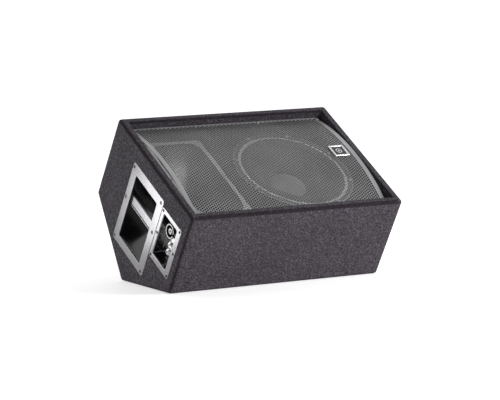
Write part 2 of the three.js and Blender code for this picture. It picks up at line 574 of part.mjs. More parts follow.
// Closes the loop of rings at both ends, for the space inside the horn.
function skinCap(rings) {
  const extended = [rings[0].map(([x, y, z]) => [x, y, z + 5]), ...rings,
    rings.at(-1).map(([x, y, z]) => [x, y, z - 5])];
  const count = extended[0].length;
  const index = [];
  for (let r = 0; r + 1 < extended.length; r += 1) {
    for (let i = 0; i < count; i += 1) {
      const j = (i + 1) % count;
      const [a, b, c, d] = [r * count + i, r * count + j, (r + 1) * count + i, (r + 1) * count + j];
      index.push(a, c, b, b, c, d);
    }
  }
  for (let i = 1; i + 1 < count; i += 1) {
    index.push(0, i, i + 1);
    const last = (extended.length - 1) * count;
    index.push(last, last + i + 1, last + i);
  }
  const geometry = new THREE.BufferGeometry();
  geometry.setAttribute('position', new THREE.Float32BufferAttribute(extended.flat(2), 3));
  geometry.setIndex(index);
  return geometry;
}

// One ring of the horn: a rounded box near the mouth that becomes a circle at the throat.
const HORN_SIDES = 28;
const HORN_TOP = BAFFLE_Z + GAP + HORN.sheet;
const HORN_MOUTH = { halfWidth: 67, halfHeight: 137, squareness: 0.32 };
const HORN_FLARE = 1.5; // how late the walls open towards the mouth
function hornRing(t, grow) {
  const open = (1 - t) ** HORN_FLARE;
  const halfWidth = THREE.MathUtils.lerp(HORN.throatRadius, HORN_MOUTH.halfWidth, open) + grow;
  const halfHeight = THREE.MathUtils.lerp(HORN.throatRadius, HORN_MOUTH.halfHeight, open) + grow;
  const squareness = THREE.MathUtils.lerp(1, HORN_MOUTH.squareness, (1 - t) ** 0.6);
  const power = (value) => Math.sign(value) * Math.abs(value) ** squareness;
  const z = THREE.MathUtils.lerp(HORN_TOP, HORN.throatZ, t);
  return Array.from({ length: HORN_SIDES }, (_, i) => {
    const angle = ((i + 0.5) / HORN_SIDES) * 2 * Math.PI;
    return [HORN.x + halfWidth * power(Math.cos(angle)), HORN.y + halfHeight * power(Math.sin(angle)), z];
  });
}
const HORN_STEPS = 6;
const hornSteps = Array.from({ length: HORN_STEPS + 1 }, (_, i) => i / HORN_STEPS);
const hornShell = skinRings([
  ...hornSteps.map((t) => hornRing(t, HORN.sheet)),
  ...hornSteps.map((t) => hornRing(t, 0)).reverse(),
]);
const hornBore = skinCap(hornSteps.map((t) => hornRing(t, 0)));
const hornEdge = outline(hornRectangle(HORN.width, HORN.height, HORN.radius));
const hornFlange = extrudeZ(hornEdge, BAFFLE_Z + GAP, HORN_TOP);
const throatFlange = turnedZ([[13.2, HORN.throatZ], [32, HORN.throatZ], [32, HORN.throatZ + 5],
  [13.2, HORN.throatZ + 5]]).translate(HORN.x, HORN.y, 0);
add('horn', join(hornShell, cut(hornFlange, [hornBore]), throatFlange), blackPlastic());

const hornPiece = (name, points, material, segments) =>
  add(name, turnedZ(points, segments), material, [HORN.x, HORN.y, 0]);
const HF_FRONT_Z = HORN.throatZ - GAP;
const HF_BACK_Z = HF_FRONT_Z - HF_MAGNET_LENGTH;
hornPiece('hf_magnet_assembly', [[HORN.throatRadius, HF_FRONT_Z], [22, HF_BACK_Z], [44, HF_BACK_Z],
  [50, HF_BACK_Z + 6], [50, HF_FRONT_Z - 6], [44, HF_FRONT_Z]], blackSteel());
const DIAPHRAGM = { radius: 22, rise: 6, rim: 27, sheet: 0.6 };
const domeLine = (sheet) => Array.from({ length: 4 }, (_, i) => {
  const t = i / 3;
  return [DIAPHRAGM.radius * (1 - t), HF_BACK_Z - 1.2 - sheet - DIAPHRAGM.rise * (1 - (1 - t) ** 2)];
});
hornPiece('hf_diaphragm', [
  ...domeLine(DIAPHRAGM.sheet).reverse(), [DIAPHRAGM.rim, HF_BACK_Z - 1.2 - DIAPHRAGM.sheet],
  [DIAPHRAGM.rim, HF_BACK_Z - 1.2], ...domeLine(0),
], finish(0xb8b8ba, 0.3, 0.9), 24);
const HF_COVER_END = HF_BACK_Z - 24;
hornPiece('hf_rear_cover', [[0, HF_COVER_END], [34, HF_COVER_END], [42, HF_COVER_END + 6],
  [42, HF_BACK_Z - GAP], [30, HF_BACK_Z - GAP], [30, HF_COVER_END + 8], [0, HF_COVER_END + 3]], blackPlastic());

// ---------------------------------------------------------------- crossover, on the upper back board
const CROSSOVER_Y = baffleHalf - GAP;
const CROSSOVER = { x: -30, z: -160, width: 150, height: 96, sheet: 2 };
const PART_TOP = CROSSOVER_Y - CROSSOVER.sheet - GAP;
add('crossover_board', box(
  [CROSSOVER.x - CROSSOVER.width / 2, CROSSOVER_Y - CROSSOVER.sheet, CROSSOVER.z - CROSSOVER.height / 2],
  [CROSSOVER.x + CROSSOVER.width / 2, CROSSOVER_Y, CROSSOVER.z + CROSSOVER.height / 2]),
finish(0x6d5a2c, 0.7, 0));
// Parts on the board: its x and z, then its radii or its size.
const coilOnBoard = (name, x, z, innerRadius, outerRadius, height) =>
  add(name, turned([[innerRadius, -height], [outerRadius, -height], [outerRadius, 0], [innerRadius, 0]], 24),
    copper(), [x, PART_TOP, z]);
coilOnBoard('crossover_coil_low', -62, -176, 9, 25, 20);
coilOnBoard('crossover_coil_high', 20, -136, 6, 15, 13);
const capacitorOnBoard = (name, x, z, radius, length) =>
  add(name, new THREE.CylinderGeometry(radius, radius, length, 20), finish(0x27324f, 0.4, 0),
    [x, PART_TOP - radius, z], [0, 0, Math.PI / 2]);
capacitorOnBoard('crossover_capacitor_low', -58, -128, 11, 44);
capacitorOnBoard('crossover_capacitor_high', 14, -166, 8, 34);
const RESISTOR = { x: 14, z: -193.5, length: 48, side: 9 };
add('crossover_resistor', box(
  [RESISTOR.x - RESISTOR.length / 2, PART_TOP - RESISTOR.side, RESISTOR.z - RESISTOR.side / 2],
  [RESISTOR.x + RESISTOR.length / 2, PART_TOP, RESISTOR.z + RESISTOR.side / 2]), finish(0xd8d4c8, 0.8, 0));

// ---------------------------------------------------------------- leads inside the cabinet
const LEAD_RADIUS = 2.2;
function lead(name, points) {
  const section = new THREE.Shape().absarc(0, 0, LEAD_RADIUS, 0, 2 * Math.PI, false);
  const path = new THREE.CatmullRomCurve3(points.map((p) => new THREE.Vector3(...p)));
  add(name, new THREE.ExtrudeGeometry(section,
    { extrudePath: path, steps: 16, curveSegments: 4, bevelEnabled: false }), rubberBlack());
}
lead('input_lead', [[-255.5, -121, -100], [-244, -121, -110], [-232, -112, -190], [-205, -70, -236],
  [-150, 20, -246], [-110, 110, -222], [-106, 150, -196], [-104, 172, -180]]);
lead('woofer_lead', [[47, 178, -160], [56, 160, -162], [66, 128, -148], [66, 100, -130], [66, 88, -125]]);
lead('tweeter_lead', [[-100, 178, -140], [-110, 166, -146], [-124, 110, -166], [-140, 66, -166],
  [-146, 52, -162]]);

// ---------------------------------------------------------------- standing on the floor slope
// Leaning the face back lays one keel slope flat on the floor, and the origin goes under the middle.
wedge.rotation.x = SLOPE;
wedge.updateMatrixWorld(true);
const reach = new THREE.Box3().setFromObject(wedge, true);
wedge.position.set(0, -(reach.min.y + reach.max.y) / 2, KEEL_DEPTH * Math.cos(SLOPE));

export default wedge;
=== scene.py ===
"""Stage monitor wedge: the finished surfaces of a carpeted floor loudspeaker, built around its frame."""

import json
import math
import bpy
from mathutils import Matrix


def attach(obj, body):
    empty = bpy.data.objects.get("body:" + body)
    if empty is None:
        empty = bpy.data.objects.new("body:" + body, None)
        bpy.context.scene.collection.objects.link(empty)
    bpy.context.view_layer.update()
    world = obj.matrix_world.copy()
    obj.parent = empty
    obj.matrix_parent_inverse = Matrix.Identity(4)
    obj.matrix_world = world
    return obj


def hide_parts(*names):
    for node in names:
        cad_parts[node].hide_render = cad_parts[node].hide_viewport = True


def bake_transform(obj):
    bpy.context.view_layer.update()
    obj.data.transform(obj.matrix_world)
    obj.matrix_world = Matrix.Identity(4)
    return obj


bl_info = {
    "name": "Stage Monitor Wedge",
    "version": (1, 0, 0),
    "blender": (4, 5, 0),
    "location": "3D View > Sidebar > Wedge",
    "description": "Builds a carpeted stage monitor wedge piece by piece around its packed frame",
    "category": "Object",
}

import bmesh
import bpy
from bpy.props import FloatProperty, FloatVectorProperty, IntProperty, PointerProperty
from mathutils import Matrix, Vector

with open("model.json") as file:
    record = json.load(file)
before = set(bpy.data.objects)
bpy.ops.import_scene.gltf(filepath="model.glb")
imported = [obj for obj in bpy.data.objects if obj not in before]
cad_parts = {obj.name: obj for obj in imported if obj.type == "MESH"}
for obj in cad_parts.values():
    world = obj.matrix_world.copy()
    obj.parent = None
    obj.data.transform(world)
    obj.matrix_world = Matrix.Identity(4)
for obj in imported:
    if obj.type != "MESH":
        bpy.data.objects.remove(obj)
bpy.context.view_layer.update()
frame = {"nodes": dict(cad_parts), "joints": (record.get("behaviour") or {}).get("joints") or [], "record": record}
MM = 0.001

# ------------------------------------------------------------------ the speaker face's own frame
# x runs along the cabinet, y across the speaker face towards its high edge, and z out of the face,
# which is at z = 0. The woofer slides along z, so its joint gives the direction.
OUT = Vector(frame["joints"][0]["axis"]).normalized()
ACROSS = OUT.cross(Vector((1, 0, 0))).normalized()
SLOPE = math.atan2(-OUT.y, OUT.z)


def _face_matrix():
    points = [v.co for v in frame["nodes"]["carpet_wrap"].data.vertices]
    across = [p.dot(ACROSS) for p in points]
    middle = (min(across) + max(across)) / 2
    origin = ACROSS * middle + OUT * max(p.dot(OUT) for p in points)
    return Matrix.Translation(origin) @ Matrix((Vector((1, 0, 0)), ACROSS, OUT)).transposed().to_4x4()


FACE = _face_matrix()
TO_FACE = FACE.inverted()


def face_box(*names):
    """Lowest and highest corner of CAD nodes in the face's frame."""
    points = [TO_FACE @ v.co for name in names for v in frame["nodes"][name].data.vertices]
    low = Vector([min(p[i] for p in points) for i in range(3)])
    high = Vector([max(p[i] for p in points) for i in range(3)])
    return low, high


def face_middle(*names):
    low, high = face_box(*names)
    return (low + high) / 2


WRAP_LOW, WRAP_HIGH = face_box("carpet_wrap", "carpet_left_end", "carpet_right_end")
END_X = WRAP_HIGH.x
BAY_X = face_box("carpet_right_end")[0].x
FACE_HALF = WRAP_HIGH.y
KEEL_DEPTH = FACE.translation.z / math.cos(SLOPE)
SIDE_DEPTH = KEEL_DEPTH - FACE_HALF * math.tan(SLOPE)


def end_frame(x, y=0.0, z=0.0):
    """A frame on the left end: x runs towards the low edge of the face, y out of the face, z outwards."""
    turn = Matrix(((0, 0, -1), (-1, 0, 0), (0, 1, 0))).to_4x4()
    return Matrix.Translation((x, y, z)) @ turn


# Sizes inside single CAD nodes, which a node's box doesn't give. Rectangles on the left end are in
# end_frame's x and y, as low x, low y, high x, high y.
SEAM_OVERLAP = 1.5 * MM  # how far an end piece of carpet reaches along the cabinet past the flap
HANDLE_WINDOW_Z = (-248 * MM, -70 * MM)
TROUGH_WALL = 2.5 * MM
TROUGH_CREASE = 3 * MM
DISH = (92 * MM, -185 * MM, 159 * MM, -70 * MM)
DISH_SHEET = 1.5 * MM
DISH_SCREWS_Y = (-85.5 * MM, -172 * MM)
DISH_SCREWS_Z = (-64 * MM, -129 * MM, -194 * MM)
GRILLE_FOOT = 171 * MM  # half the arch's span
GRILLE_EDGE_Z = -20 * MM  # height of the flat edges
GRILLE_SHEET = 1.1 * MM
GASKET_INNER = 141.2 * MM
GASKET_HIGHLIGHT_RADIUS = 150.5 * MM  # radius where the gasket's pale painted highlight starts
WOOFER_SCREW_RING = 147 * MM
ROLL = {"middle": 121.5 * MM, "half": 9.5 * MM, "crest_z": -33 * MM, "inner_z": -50 * MM, "sheet": 0.9 * MM}
CONE_EDGE, CONE_NECK = (110.5 * MM, -50.3 * MM), (33.4 * MM, -96 * MM)  # radius and height
CAP = {"radius": 46 * MM, "rise": 15 * MM, "sheet": 0.9 * MM}
HORN_SHEET, HORN_THROAT, HORN_LAND = 3 * MM, 12.7 * MM, 13 * MM  # the land is the flange beside the mouth
HORN_SQUARENESS = 0.32  # the mouth's power of the circle: 1 is an ellipse and 0 a rectangle


# ------------------------------------------------------------------ sizes and colours to change
class WedgeSizes(bpy.types.PropertyGroup):
    """Sizes that the frame doesn't fix."""
    edge_radius: FloatProperty(
        name="Edge radius", description="Rounding of the carpeted outer edges",
        default=8 * MM, min=4 * MM, max=14 * MM, unit="LENGTH")
    rim_radius: FloatProperty(
        name="Rim radius", description="Rounding where the carpet turns into the recess",
        default=5 * MM, min=3.5 * MM, max=8 * MM, unit="LENGTH")
    carpet_thickness: FloatProperty(
        name="Carpet thickness", description="Thickness of the carpet skin",
        default=2.6 * MM, min=1 * MM, max=3 * MM, unit="LENGTH")
    hole_diameter: FloatProperty(
        name="Hole diameter", description="Diameter of the grille's round holes",
        default=5.7 * MM, min=2 * MM, max=5.7 * MM, unit="LENGTH")
    hole_pitch: FloatProperty(
        name="Hole pitch", description="Distance between neighbouring holes of the grille",
        default=7 * MM, min=7 * MM, max=12 * MM, unit="LENGTH")
    grille_margin: FloatProperty(
        name="Grille margin", description="Plain border at the ends of the grille",
        default=10 * MM, min=4 * MM, max=30 * MM, unit="LENGTH")
    woofer_screws: IntProperty(
        name="Woofer screws", description="Screws round the woofer's frame", default=8, min=4, max=12)


class WedgeColours(bpy.types.PropertyGroup):
    """Colours of the finishes that show most."""
    carpet_dark: FloatVectorProperty(
        name="Carpet", description="Ground colour of the carpet", subtype="COLOR",
        size=3, min=0, max=1, default=(0.0195, 0.0155, 0.0202))
    carpet_fleck: FloatVectorProperty(
        name="Carpet fleck", description="Colour of the lighter fibres", subtype="COLOR",
        size=3, min=0, max=1, default=(0.135, 0.12, 0.142))
    grille_steel: FloatVectorProperty(
        name="Grille", description="Paint of the grille", subtype="COLOR",
        size=3, min=0, max=1, default=(0.36, 0.36, 0.365))
    plate_steel: FloatVectorProperty(
        name="Plates", description="Finish of the handle and input plates", subtype="COLOR",
        size=3, min=0, max=1, default=(0.17, 0.167, 0.174))


def sizes():
    return bpy.context.scene.wedge_sizes


def colours():
    return bpy.context.scene.wedge_colours


# ------------------------------------------------------------------ finishes
class Finish:
    """A material around one Principled shader, with short calls for the textures that feed it."""

    def __init__(self, name, **values):
        self.material = bpy.data.materials.new(name)
        self.material.use_nodes = True
        self.tree = self.material.node_tree
        self.shader = self.tree.nodes["Principled BSDF"]
        self.place = self.node("ShaderNodeTexCoord").outputs["Object"]
        for socket, value in values.items():
            self.shader.inputs[socket.replace("_", " ")].default_value = value

    def node(self, kind, **settings):
        node = self.tree.nodes.new(kind)
        for key, value in settings.items():
            setattr(node, key, value)
        return node

    def link(self, output, target):
        self.tree.links.new(output, target)

    def stretched(self, scale):
        """The place, scaled unevenly, for grain that runs one way."""
        mapping = self.node("ShaderNodeMapping")
        mapping.inputs["Scale"].default_value = scale
        self.link(self.place, mapping.inputs["Vector"])
        return mapping.outputs["Vector"]

    def noise(self, scale, detail=3.0, roughness=0.55, place=None):
        node = self.node("ShaderNodeTexNoise")
        node.inputs["Scale"].default_value = scale
        node.inputs["Detail"].default_value = detail
        node.inputs["Roughness"].default_value = roughness
        self.link(place or self.place, node.inputs["Vector"])
        return node.outputs["Fac"]

    def waves(self, scale, distortion=0.0, place=None, direction="X"):
        node = self.node("ShaderNodeTexWave", bands_direction=direction)
        node.inputs["Scale"].default_value = scale
        node.inputs["Distortion"].default_value = distortion
        self.link(place or self.place, node.inputs["Vector"])
        return node.outputs["Fac"]

    def ramp(self, value, stops):
        node = self.node("ShaderNodeValToRGB")
        ramp = node.color_ramp
        while len(ramp.elements) < len(stops):
            ramp.elements.new(0.5)
        for element, (position, colour) in zip(ramp.elements, stops):
            element.position = position
            element.color = (*colour, 1.0)
        self.link(value, node.inputs["Fac"])
        return node.outputs["Color"]

    def spread(self, value, low, high, source=(0.3, 0.7)):
        node = self.node("ShaderNodeMapRange")
        node.inputs["From Min"].default_value = source[0]
        node.inputs["From Max"].default_value = source[1]
        node.inputs["To Min"].default_value = low
        node.inputs["To Max"].default_value = high
        self.link(value, node.inputs["Value"])
        return node.outputs["Result"]

    def mixed(self, first, second, factor=0.5):
        """first times the factor, plus second."""
        node = self.node("ShaderNodeMath", operation="MULTIPLY_ADD")
        self.link(first, node.inputs[0])
        node.inputs[1].default_value = factor
        self.link(second, node.inputs[2])
        return node.outputs["Value"]

    def colour(self, output):
        self.link(output, self.shader.inputs["Base Color"])

    def roughness(self, output):
        self.link(output, self.shader.inputs["Roughness"])

    def bump(self, height, distance, strength=1.0):
        node = self.node("ShaderNodeBump")
        node.inputs["Distance"].default_value = distance
        node.inputs["Strength"].default_value = strength
        self.link(height, node.inputs["Height"])
        self.link(node.outputs["Normal"], self.shader.inputs["Normal"])


def shade(colour, factor):
    return tuple(min(c * factor, 1.0) for c in colour)


def mottled(name, colour, roughness, grain, depth, contrast=0.15, **values):
    """A plain moulded or painted finish: a little mottling in colour and gloss, and a fine grain."""
    finish = Finish(name, **values)
    fine = finish.noise(grain, 4.0)
    broad = finish.noise(grain / 24, 2.0)
    stops = [(0.3, shade(colour, 1 - contrast)), (0.7, shade(colour, 1 + contrast))]
    finish.colour(finish.ramp(broad, stops))
    finish.roughness(finish.spread(fine, roughness * 0.88, min(roughness * 1.12, 1.0)))
    finish.bump(fine, depth)
    return finish.material


def carpet_finish():
    """Needle-punched carpet: dark felt with lighter fibres in small tufts, darkened round the rounded edges as
    painted shade.
    """
    finish = Finish("carpet", Metallic=0.0, Sheen_Weight=0.08, Sheen_Roughness=0.5)
    finish.shader.inputs["Specular IOR Level"].default_value = 0.12
    fibres = finish.noise(620, 5.0, 0.75)
    tufts = finish.noise(230, 3.0, 0.65)
    wear = finish.noise(9, 3.0, 0.5)
    nap = finish.mixed(fibres, tufts, 0.5)
    low, high = tuple(colours().carpet_dark), tuple(colours().carpet_fleck)
    mid = tuple(a + (b - a) * 0.3 for a, b in zip(low, high))
    # Painted shade: the carpet is made darker the further a point is round an edge.
    edge_shade = finish.node("ShaderNodeAttribute", attribute_name="edge").outputs["Fac"]
    pile_and_edge_shade = finish.mixed(edge_shade, finish.mixed(wear, nap, 0.1), -0.2)
    finish.colour(finish.ramp(pile_and_edge_shade, [(0.62, low), (0.80, mid), (0.98, high)]))
    finish.roughness(finish.spread(fibres, 0.9, 1.0))
    finish.bump(nap, 1.6 * MM)
    return finish.material


def plate_finish():
    """Satin steel with a short brushed grain along the plate and a few dull patches."""
    base = tuple(colours().plate_steel)
    finish = Finish("plate_steel", Metallic=0.85)
    grain = finish.noise(260, 5.0, 0.7, finish.stretched((1.0, 0.25, 1.0)))
    patches = finish.noise(14, 3.0)
    finish.colour(finish.ramp(grain, [(0.32, shade(base, 0.9)), (0.68, shade(base, 1.06))]))
    finish.roughness(finish.spread(patches, 0.25, 0.31))
    finish.bump(grain, 0.04 * MM)
    return finish.material


def grille_finish():
    base = tuple(colours().grille_steel)
    finish = Finish("grille_steel", Metallic=0.35)
    grain = finish.noise(900, 4.0)
    patches = finish.noise(9, 3.0)
    finish.colour(finish.ramp(patches, [(0.3, shade(base, 0.85)), (0.7, shade(base, 1.12))]))
    finish.roughness(finish.spread(grain, 0.36, 0.5))
    finish.bump(grain, 0.03 * MM)
    return finish.material


def plywood_finish():
    finish = Finish("plywood", Metallic=0.0)
    rings = finish.waves(22, 5.0, finish.stretched((1.0, 9.0, 9.0)), "Z")
    pores = finish.noise(600, 4.0, 0.6, finish.stretched((0.15, 1.0, 1.0)))
    stops = [(0.1, (0.42, 0.27, 0.13)), (0.6, (0.55, 0.38, 0.2)), (1.0, (0.62, 0.45, 0.26))]
    finish.colour(finish.ramp(rings, stops))
    finish.roughness(finish.spread(pores, 0.62, 0.82))
    finish.bump(pores, 0.2 * MM)
    return finish.material


def paper_cone_finish():
    finish = Finish("paper_cone", Metallic=0.0)
    fibre = finish.noise(700, 5.0, 0.7)
    felt = finish.noise(60, 3.0)
    finish.colour(finish.ramp(felt, [(0.3, (0.09, 0.09, 0.095)), (0.7, (0.14, 0.14, 0.145))]))
    finish.roughness(finish.spread(fibre, 0.55, 0.8))
    finish.bump(fibre, 0.15 * MM)
    return finish.material


def cloth_finish(name, colour, scale, roughness=0.9):
    """A woven cloth: two sets of threads and a little unevenness."""
    finish = Finish(name, Metallic=0.0)
    warp = finish.waves(scale, 0.4, direction="X")
    weft = finish.waves(scale, 0.4, direction="DIAGONAL")
    weave = finish.mixed(warp, weft, 0.9)
    finish.colour(finish.ramp(weave, [(0.3, shade(colour, 0.6)), (1.5, shade(colour, 1.2))]))
    finish.roughness(finish.spread(finish.noise(300), roughness - 0.08, min(roughness + 0.08, 1.0)))
    finish.bump(weave, 0.12 * MM)
    return finish.material


def winding_finish():
    finish = Finish("copper_wire", Metallic=0.9)
    turns = finish.waves(420, 0.5, direction="Z")
    finish.colour(finish.ramp(turns, [(0.1, (0.32, 0.11, 0.04)), (0.8, (0.72, 0.32, 0.14))]))
    finish.roughness(finish.spread(finish.noise(200), 0.25, 0.4))
    finish.bump(turns, 0.2 * MM)
    return finish.material


def dish_finish():
    """The pressed dish: the plate's steel, smoothed by the press."""
    finish = Finish("dish_steel", Metallic=1.0)
    grain = finish.noise(420, 4.0, 0.6, finish.stretched((1.0, 1.0, 0.3)))
    finish.colour(finish.ramp(grain, [(0.3, (0.60, 0.60, 0.62)), (0.7, (0.68, 0.68, 0.7))]))
    finish.roughness(finish.spread(grain, 0.16, 0.22))
    return finish.material


def make_finishes():
    """One material for each slot of the record, by the slot's name, and a few for parts of a piece."""
    finishes = {
        "carpet": carpet_finish(),
        "plywood": plywood_finish(),
        "plate_steel": plate_finish(),
        "grille_steel": grille_finish(),
        "driver_rubber": cloth_finish("driver_rubber", (0.11, 0.11, 0.115), 700, 0.62),
        "paper_cone": paper_cone_finish(),
        "spider_cloth": cloth_finish("spider_cloth", (0.45, 0.27, 0.08), 600),
        "copper_wire": winding_finish(),
        "dish_steel": dish_finish(),
    }
    # Each row: name, colour, roughness, grain's scale, grain's depth in mm, contrast, metalness.
    plain = [
        ("black_paint", (0.012, 0.012, 0.013), 0.7, 300, 0.15, 0.15, 0),
        ("screw_steel", (0.035, 0.035, 0.038), 0.38, 900, 0.03, 0.15, 0.4),
        ("badge_silver", (0.78, 0.78, 0.8), 0.24, 700, 0.02, 0.05, 0.9),
        ("badge_black", (0.012, 0.012, 0.014), 0.2, 600, 0.01, 0.15, 0),
        ("socket_plastic", (0.02, 0.02, 0.022), 0.36, 800, 0.05, 0.15, 0),
        ("jack_nickel", (0.86, 0.86, 0.87), 0.3, 700, 0.02, 0.05, 1),
        ("horn_plastic", (0.07, 0.07, 0.074), 0.2, 700, 0.06, 0.15, 0),
        ("driver_steel", (0.03, 0.03, 0.032), 0.42, 700, 0.05, 0.15, 0.4),
        ("ferrite", (0.05, 0.05, 0.052), 0.75, 500, 0.2, 0.15, 0),
        ("diaphragm_foil", (0.6, 0.6, 0.62), 0.28, 500, 0.05, 0.06, 1),
        ("circuit_board", (0.2, 0.12, 0.04), 0.55, 400, 0.05, 0.15, 0),
        ("capacitor_film", (0.02, 0.035, 0.13), 0.35, 300, 0.05, 0.15, 0),
        ("ceramic", (0.62, 0.6, 0.53), 0.75, 900, 0.12, 0.15, 0),
        ("lead_jacket", (0.015, 0.015, 0.015), 0.5, 500, 0.05, 0.15, 0),
        # Pale grey painted on the gasket's edge, the surround's rim and the horn's flange as a painted highlight.
        ("highlight_grey", (0.78, 0.78, 0.79), 0.42, 700, 0.03, 0.08, 0),
        # Grey for the dust cap, paler than the cone as a painted glow.
        ("cap_glow_grey", (0.3, 0.3, 0.31), 0.42, 700, 0.03, 0.08, 0),
        ("socket_ring", (0.5, 0.5, 0.51), 0.3, 700, 0.02, 0.08, 0),
        ("bright_screw", (0.55, 0.55, 0.57), 0.3, 900, 0.03, 0.15, 0.9),
    ]
    for name, colour, roughness, grain, depth, contrast, metalness in plain:
        finishes[name] = mottled(name, colour, roughness, grain, depth * MM, contrast, Metallic=metalness)
    finishes["trough_plastic"] = mottled(
        "trough_plastic", (0.007, 0.007, 0.008), 0.15, 260, 0.003 * MM, IOR=1.9)
    return finishes


FINISHES = {}


# ------------------------------------------------------------------ mesh helpers
def rounded(points, steps=6):
    """A closed outline from (a, b, corner radius) points, with each corner as an arc."""
    result = []
    for i, (a, b, radius) in enumerate(points):
        corner = Vector((a, b))
        before = (Vector(points[i - 1][:2]) - corner).normalized()
        after = (Vector(points[(i + 1) % len(points)][:2]) - corner).normalized()
        if radius <= 0:
            result.append(corner)
            continue
        half = before.angle(after) / 2
        centre = corner + (before + after).normalized() * (radius / math.sin(half))
        start = corner + before * (radius / math.tan(half)) - centre
        end = corner + after * (radius / math.tan(half)) - centre
        sweep = start.angle_signed(end)
        for k in range(steps + 1):
            result.append(centre + Matrix.Rotation(-sweep * k / steps, 2) @ start)
    return result


def rectangle(x0, y0, x1, y1, radius, steps=6):
    return rounded([(x0, y0, radius), (x1, y0, radius), (x1, y1, radius), (x0, y1, radius)], steps)


def circle(x, y, radius, sides=32):
    angles = [2 * math.pi * k / sides for k in range(sides)]
    return [Vector((x + radius * math.cos(a), y + radius * math.sin(a))) for a in angles]


def inset_outline(points, distance):
    """The outline moved into its own left by a distance, with mitred corners."""
    moved = []
    for i, point in enumerate(points):
        before = (point - points[i - 1]).normalized()
        after = (points[(i + 1) % len(points)] - point).normalized()
        left = Vector((-before.y, before.x)) + Vector((-after.y, after.x))
        moved.append(point + left * (distance / max(0.3, 1 + before.dot(after))))
    return moved


def area_of(points):
    return sum(p.cross(q) for p, q in zip(points, points[1:] + points[:1])) / 2


def slab(outlines, low, high, bevel=0.0, steps=2):
    """A flat plate between two heights. The first outline is its edge and the others are holes."""
    bm = bmesh.new()
    levels = [(0.0, low), (0.0, high)]
    if bevel > 0:
        turns = [math.pi / 2 * k / steps for k in range(steps + 1)]
        levels = [(bevel * (1 - math.sin(a)), low + bevel * (1 - math.cos(a))) for a in turns]
        levels += [(bevel * (1 - math.cos(a)), high - bevel * (1 - math.sin(a))) for a in turns]
    ends = ([], [])
    for i, points in enumerate(outlines):
        points = [Vector(p) for p in points]
        if (area_of(points) > 0) != (i == 0):
            points.reverse()
        rings = [[bm.verts.new((*p, height)) for p in inset_outline(points, inset)]
                 for inset, height in levels]
        for lower, upper in zip(rings, rings[1:]):
            for k in range(len(points)):
                n = (k + 1) % len(points)
                bm.faces.new([lower[k], lower[n], upper[n], upper[k]])
        for end, ring in zip(ends, (rings[0], rings[-1])):
            end.extend(bm.edges.get((ring[k], ring[(k + 1) % len(ring)])) for k in range(len(ring)))
    for edges in ends:
        bmesh.ops.triangle_fill(bm, edges=edges, use_beauty=True, normal=(0, 0, 1))
    bmesh.ops.recalc_face_normals(bm, faces=bm.faces)
    return bm


def turned(profile, sides=64):
    """A turned solid from (radius, height) points, from the axis to the axis or closing on itself."""
    bm = bmesh.new()
    rings = []
    for radius, height in profile:
        if radius < 1e-7:
            rings.append([bm.verts.new((0, 0, height))])
            continue
        rings.append([
            bm.verts.new((radius * math.cos(2 * math.pi * k / sides),
                          radius * math.sin(2 * math.pi * k / sides), height))
            for k in range(sides)])
    closes = profile[0][0] > 0
    pairs = zip(rings, rings[1:] + rings[:1]) if closes else zip(rings, rings[1:])
    for low, high in pairs:
        for k in range(sides):
            n = (k + 1) % sides
            corners = [low[k % len(low)], low[n % len(low)], high[n % len(high)], high[k % len(high)]]
            bm.faces.new(list(dict.fromkeys(corners)))
    bmesh.ops.recalc_face_normals(bm, faces=bm.faces)
    return bm


def eased(points, radius, steps=4):
    """A turned profile with its corners rounded off, ends on the axis left as they are."""
    if points[0][0] > 0:
        return [tuple(p) for p in rounded([(*p, radius) for p in points], steps)]
    inner = rounded([(*p, 0 if i in (0, len(points) - 1) else radius) for i, p in enumerate(points)], steps)
    return [tuple(p) for p in inner]


def skin(rings, closed_ends=False, loop=False):
    """Faces between rings of as many points each. loop joins the last ring to the first."""
    bm = bmesh.new()
    verts = [[bm.verts.new(p) for p in ring] for ring in rings]
    pairs = list(zip(verts, verts[1:] + verts[:1] if loop else verts[1:]))
    for low, high in pairs:
        for k in range(len(low)):
            n = (k + 1) % len(low)
            bm.faces.new([low[k], low[n], high[n], high[k]])
    if closed_ends:
        bm.faces.new(list(reversed(verts[0])))
        bm.faces.new(verts[-1])
    bmesh.ops.recalc_face_normals(bm, faces=bm.faces)
    return bm


def join_meshes(*parts):
    """Several bmeshes as one, each left as its own shell."""
    bm = bmesh.new()
    for part in parts:
        mesh = bpy.data.meshes.new("part")
        part.to_mesh(mesh)
        part.free()
        bm.from_mesh(mesh)
        bpy.data.meshes.remove(mesh)
    return bm


def as_object(bm, name):
    mesh = bpy.data.meshes.new(name)
    bm.to_mesh(mesh)
    bm.free()
    obj = bpy.data.objects.new(name, mesh)
    bpy.context.scene.collection.objects.link(obj)
    return obj


def taken_back(obj):
    """The object's mesh as a bmesh. The object is removed."""
    mesh = obj.data
    bm = bmesh.new()
    bm.from_mesh(mesh)
    bpy.data.objects.remove(obj)
    bpy.data.meshes.remove(mesh)
    return bm


def apply_modifiers(obj):
    """Bakes the modifiers into the mesh."""
    bpy.context.view_layer.update()
    done = bpy.data.meshes.new_from_object(obj.evaluated_get(bpy.context.evaluated_depsgraph_get()))
    obj.modifiers.clear()
    old, obj.data = obj.data, done
    done.name = obj.name
    bpy.data.meshes.remove(old)


def modified(bm, kind, slots=0, **settings):
    """bm with one modifier applied, and with empty material slots where the modifier needs them."""
    obj = as_object(bm, "modified")
    for _ in range(slots):
        obj.data.materials.append(None)
    modifier = obj.modifiers.new("step", kind)
    for key, value in settings.items():
        setattr(modifier, key, value)
    apply_modifiers(obj)
    return taken_back(obj)


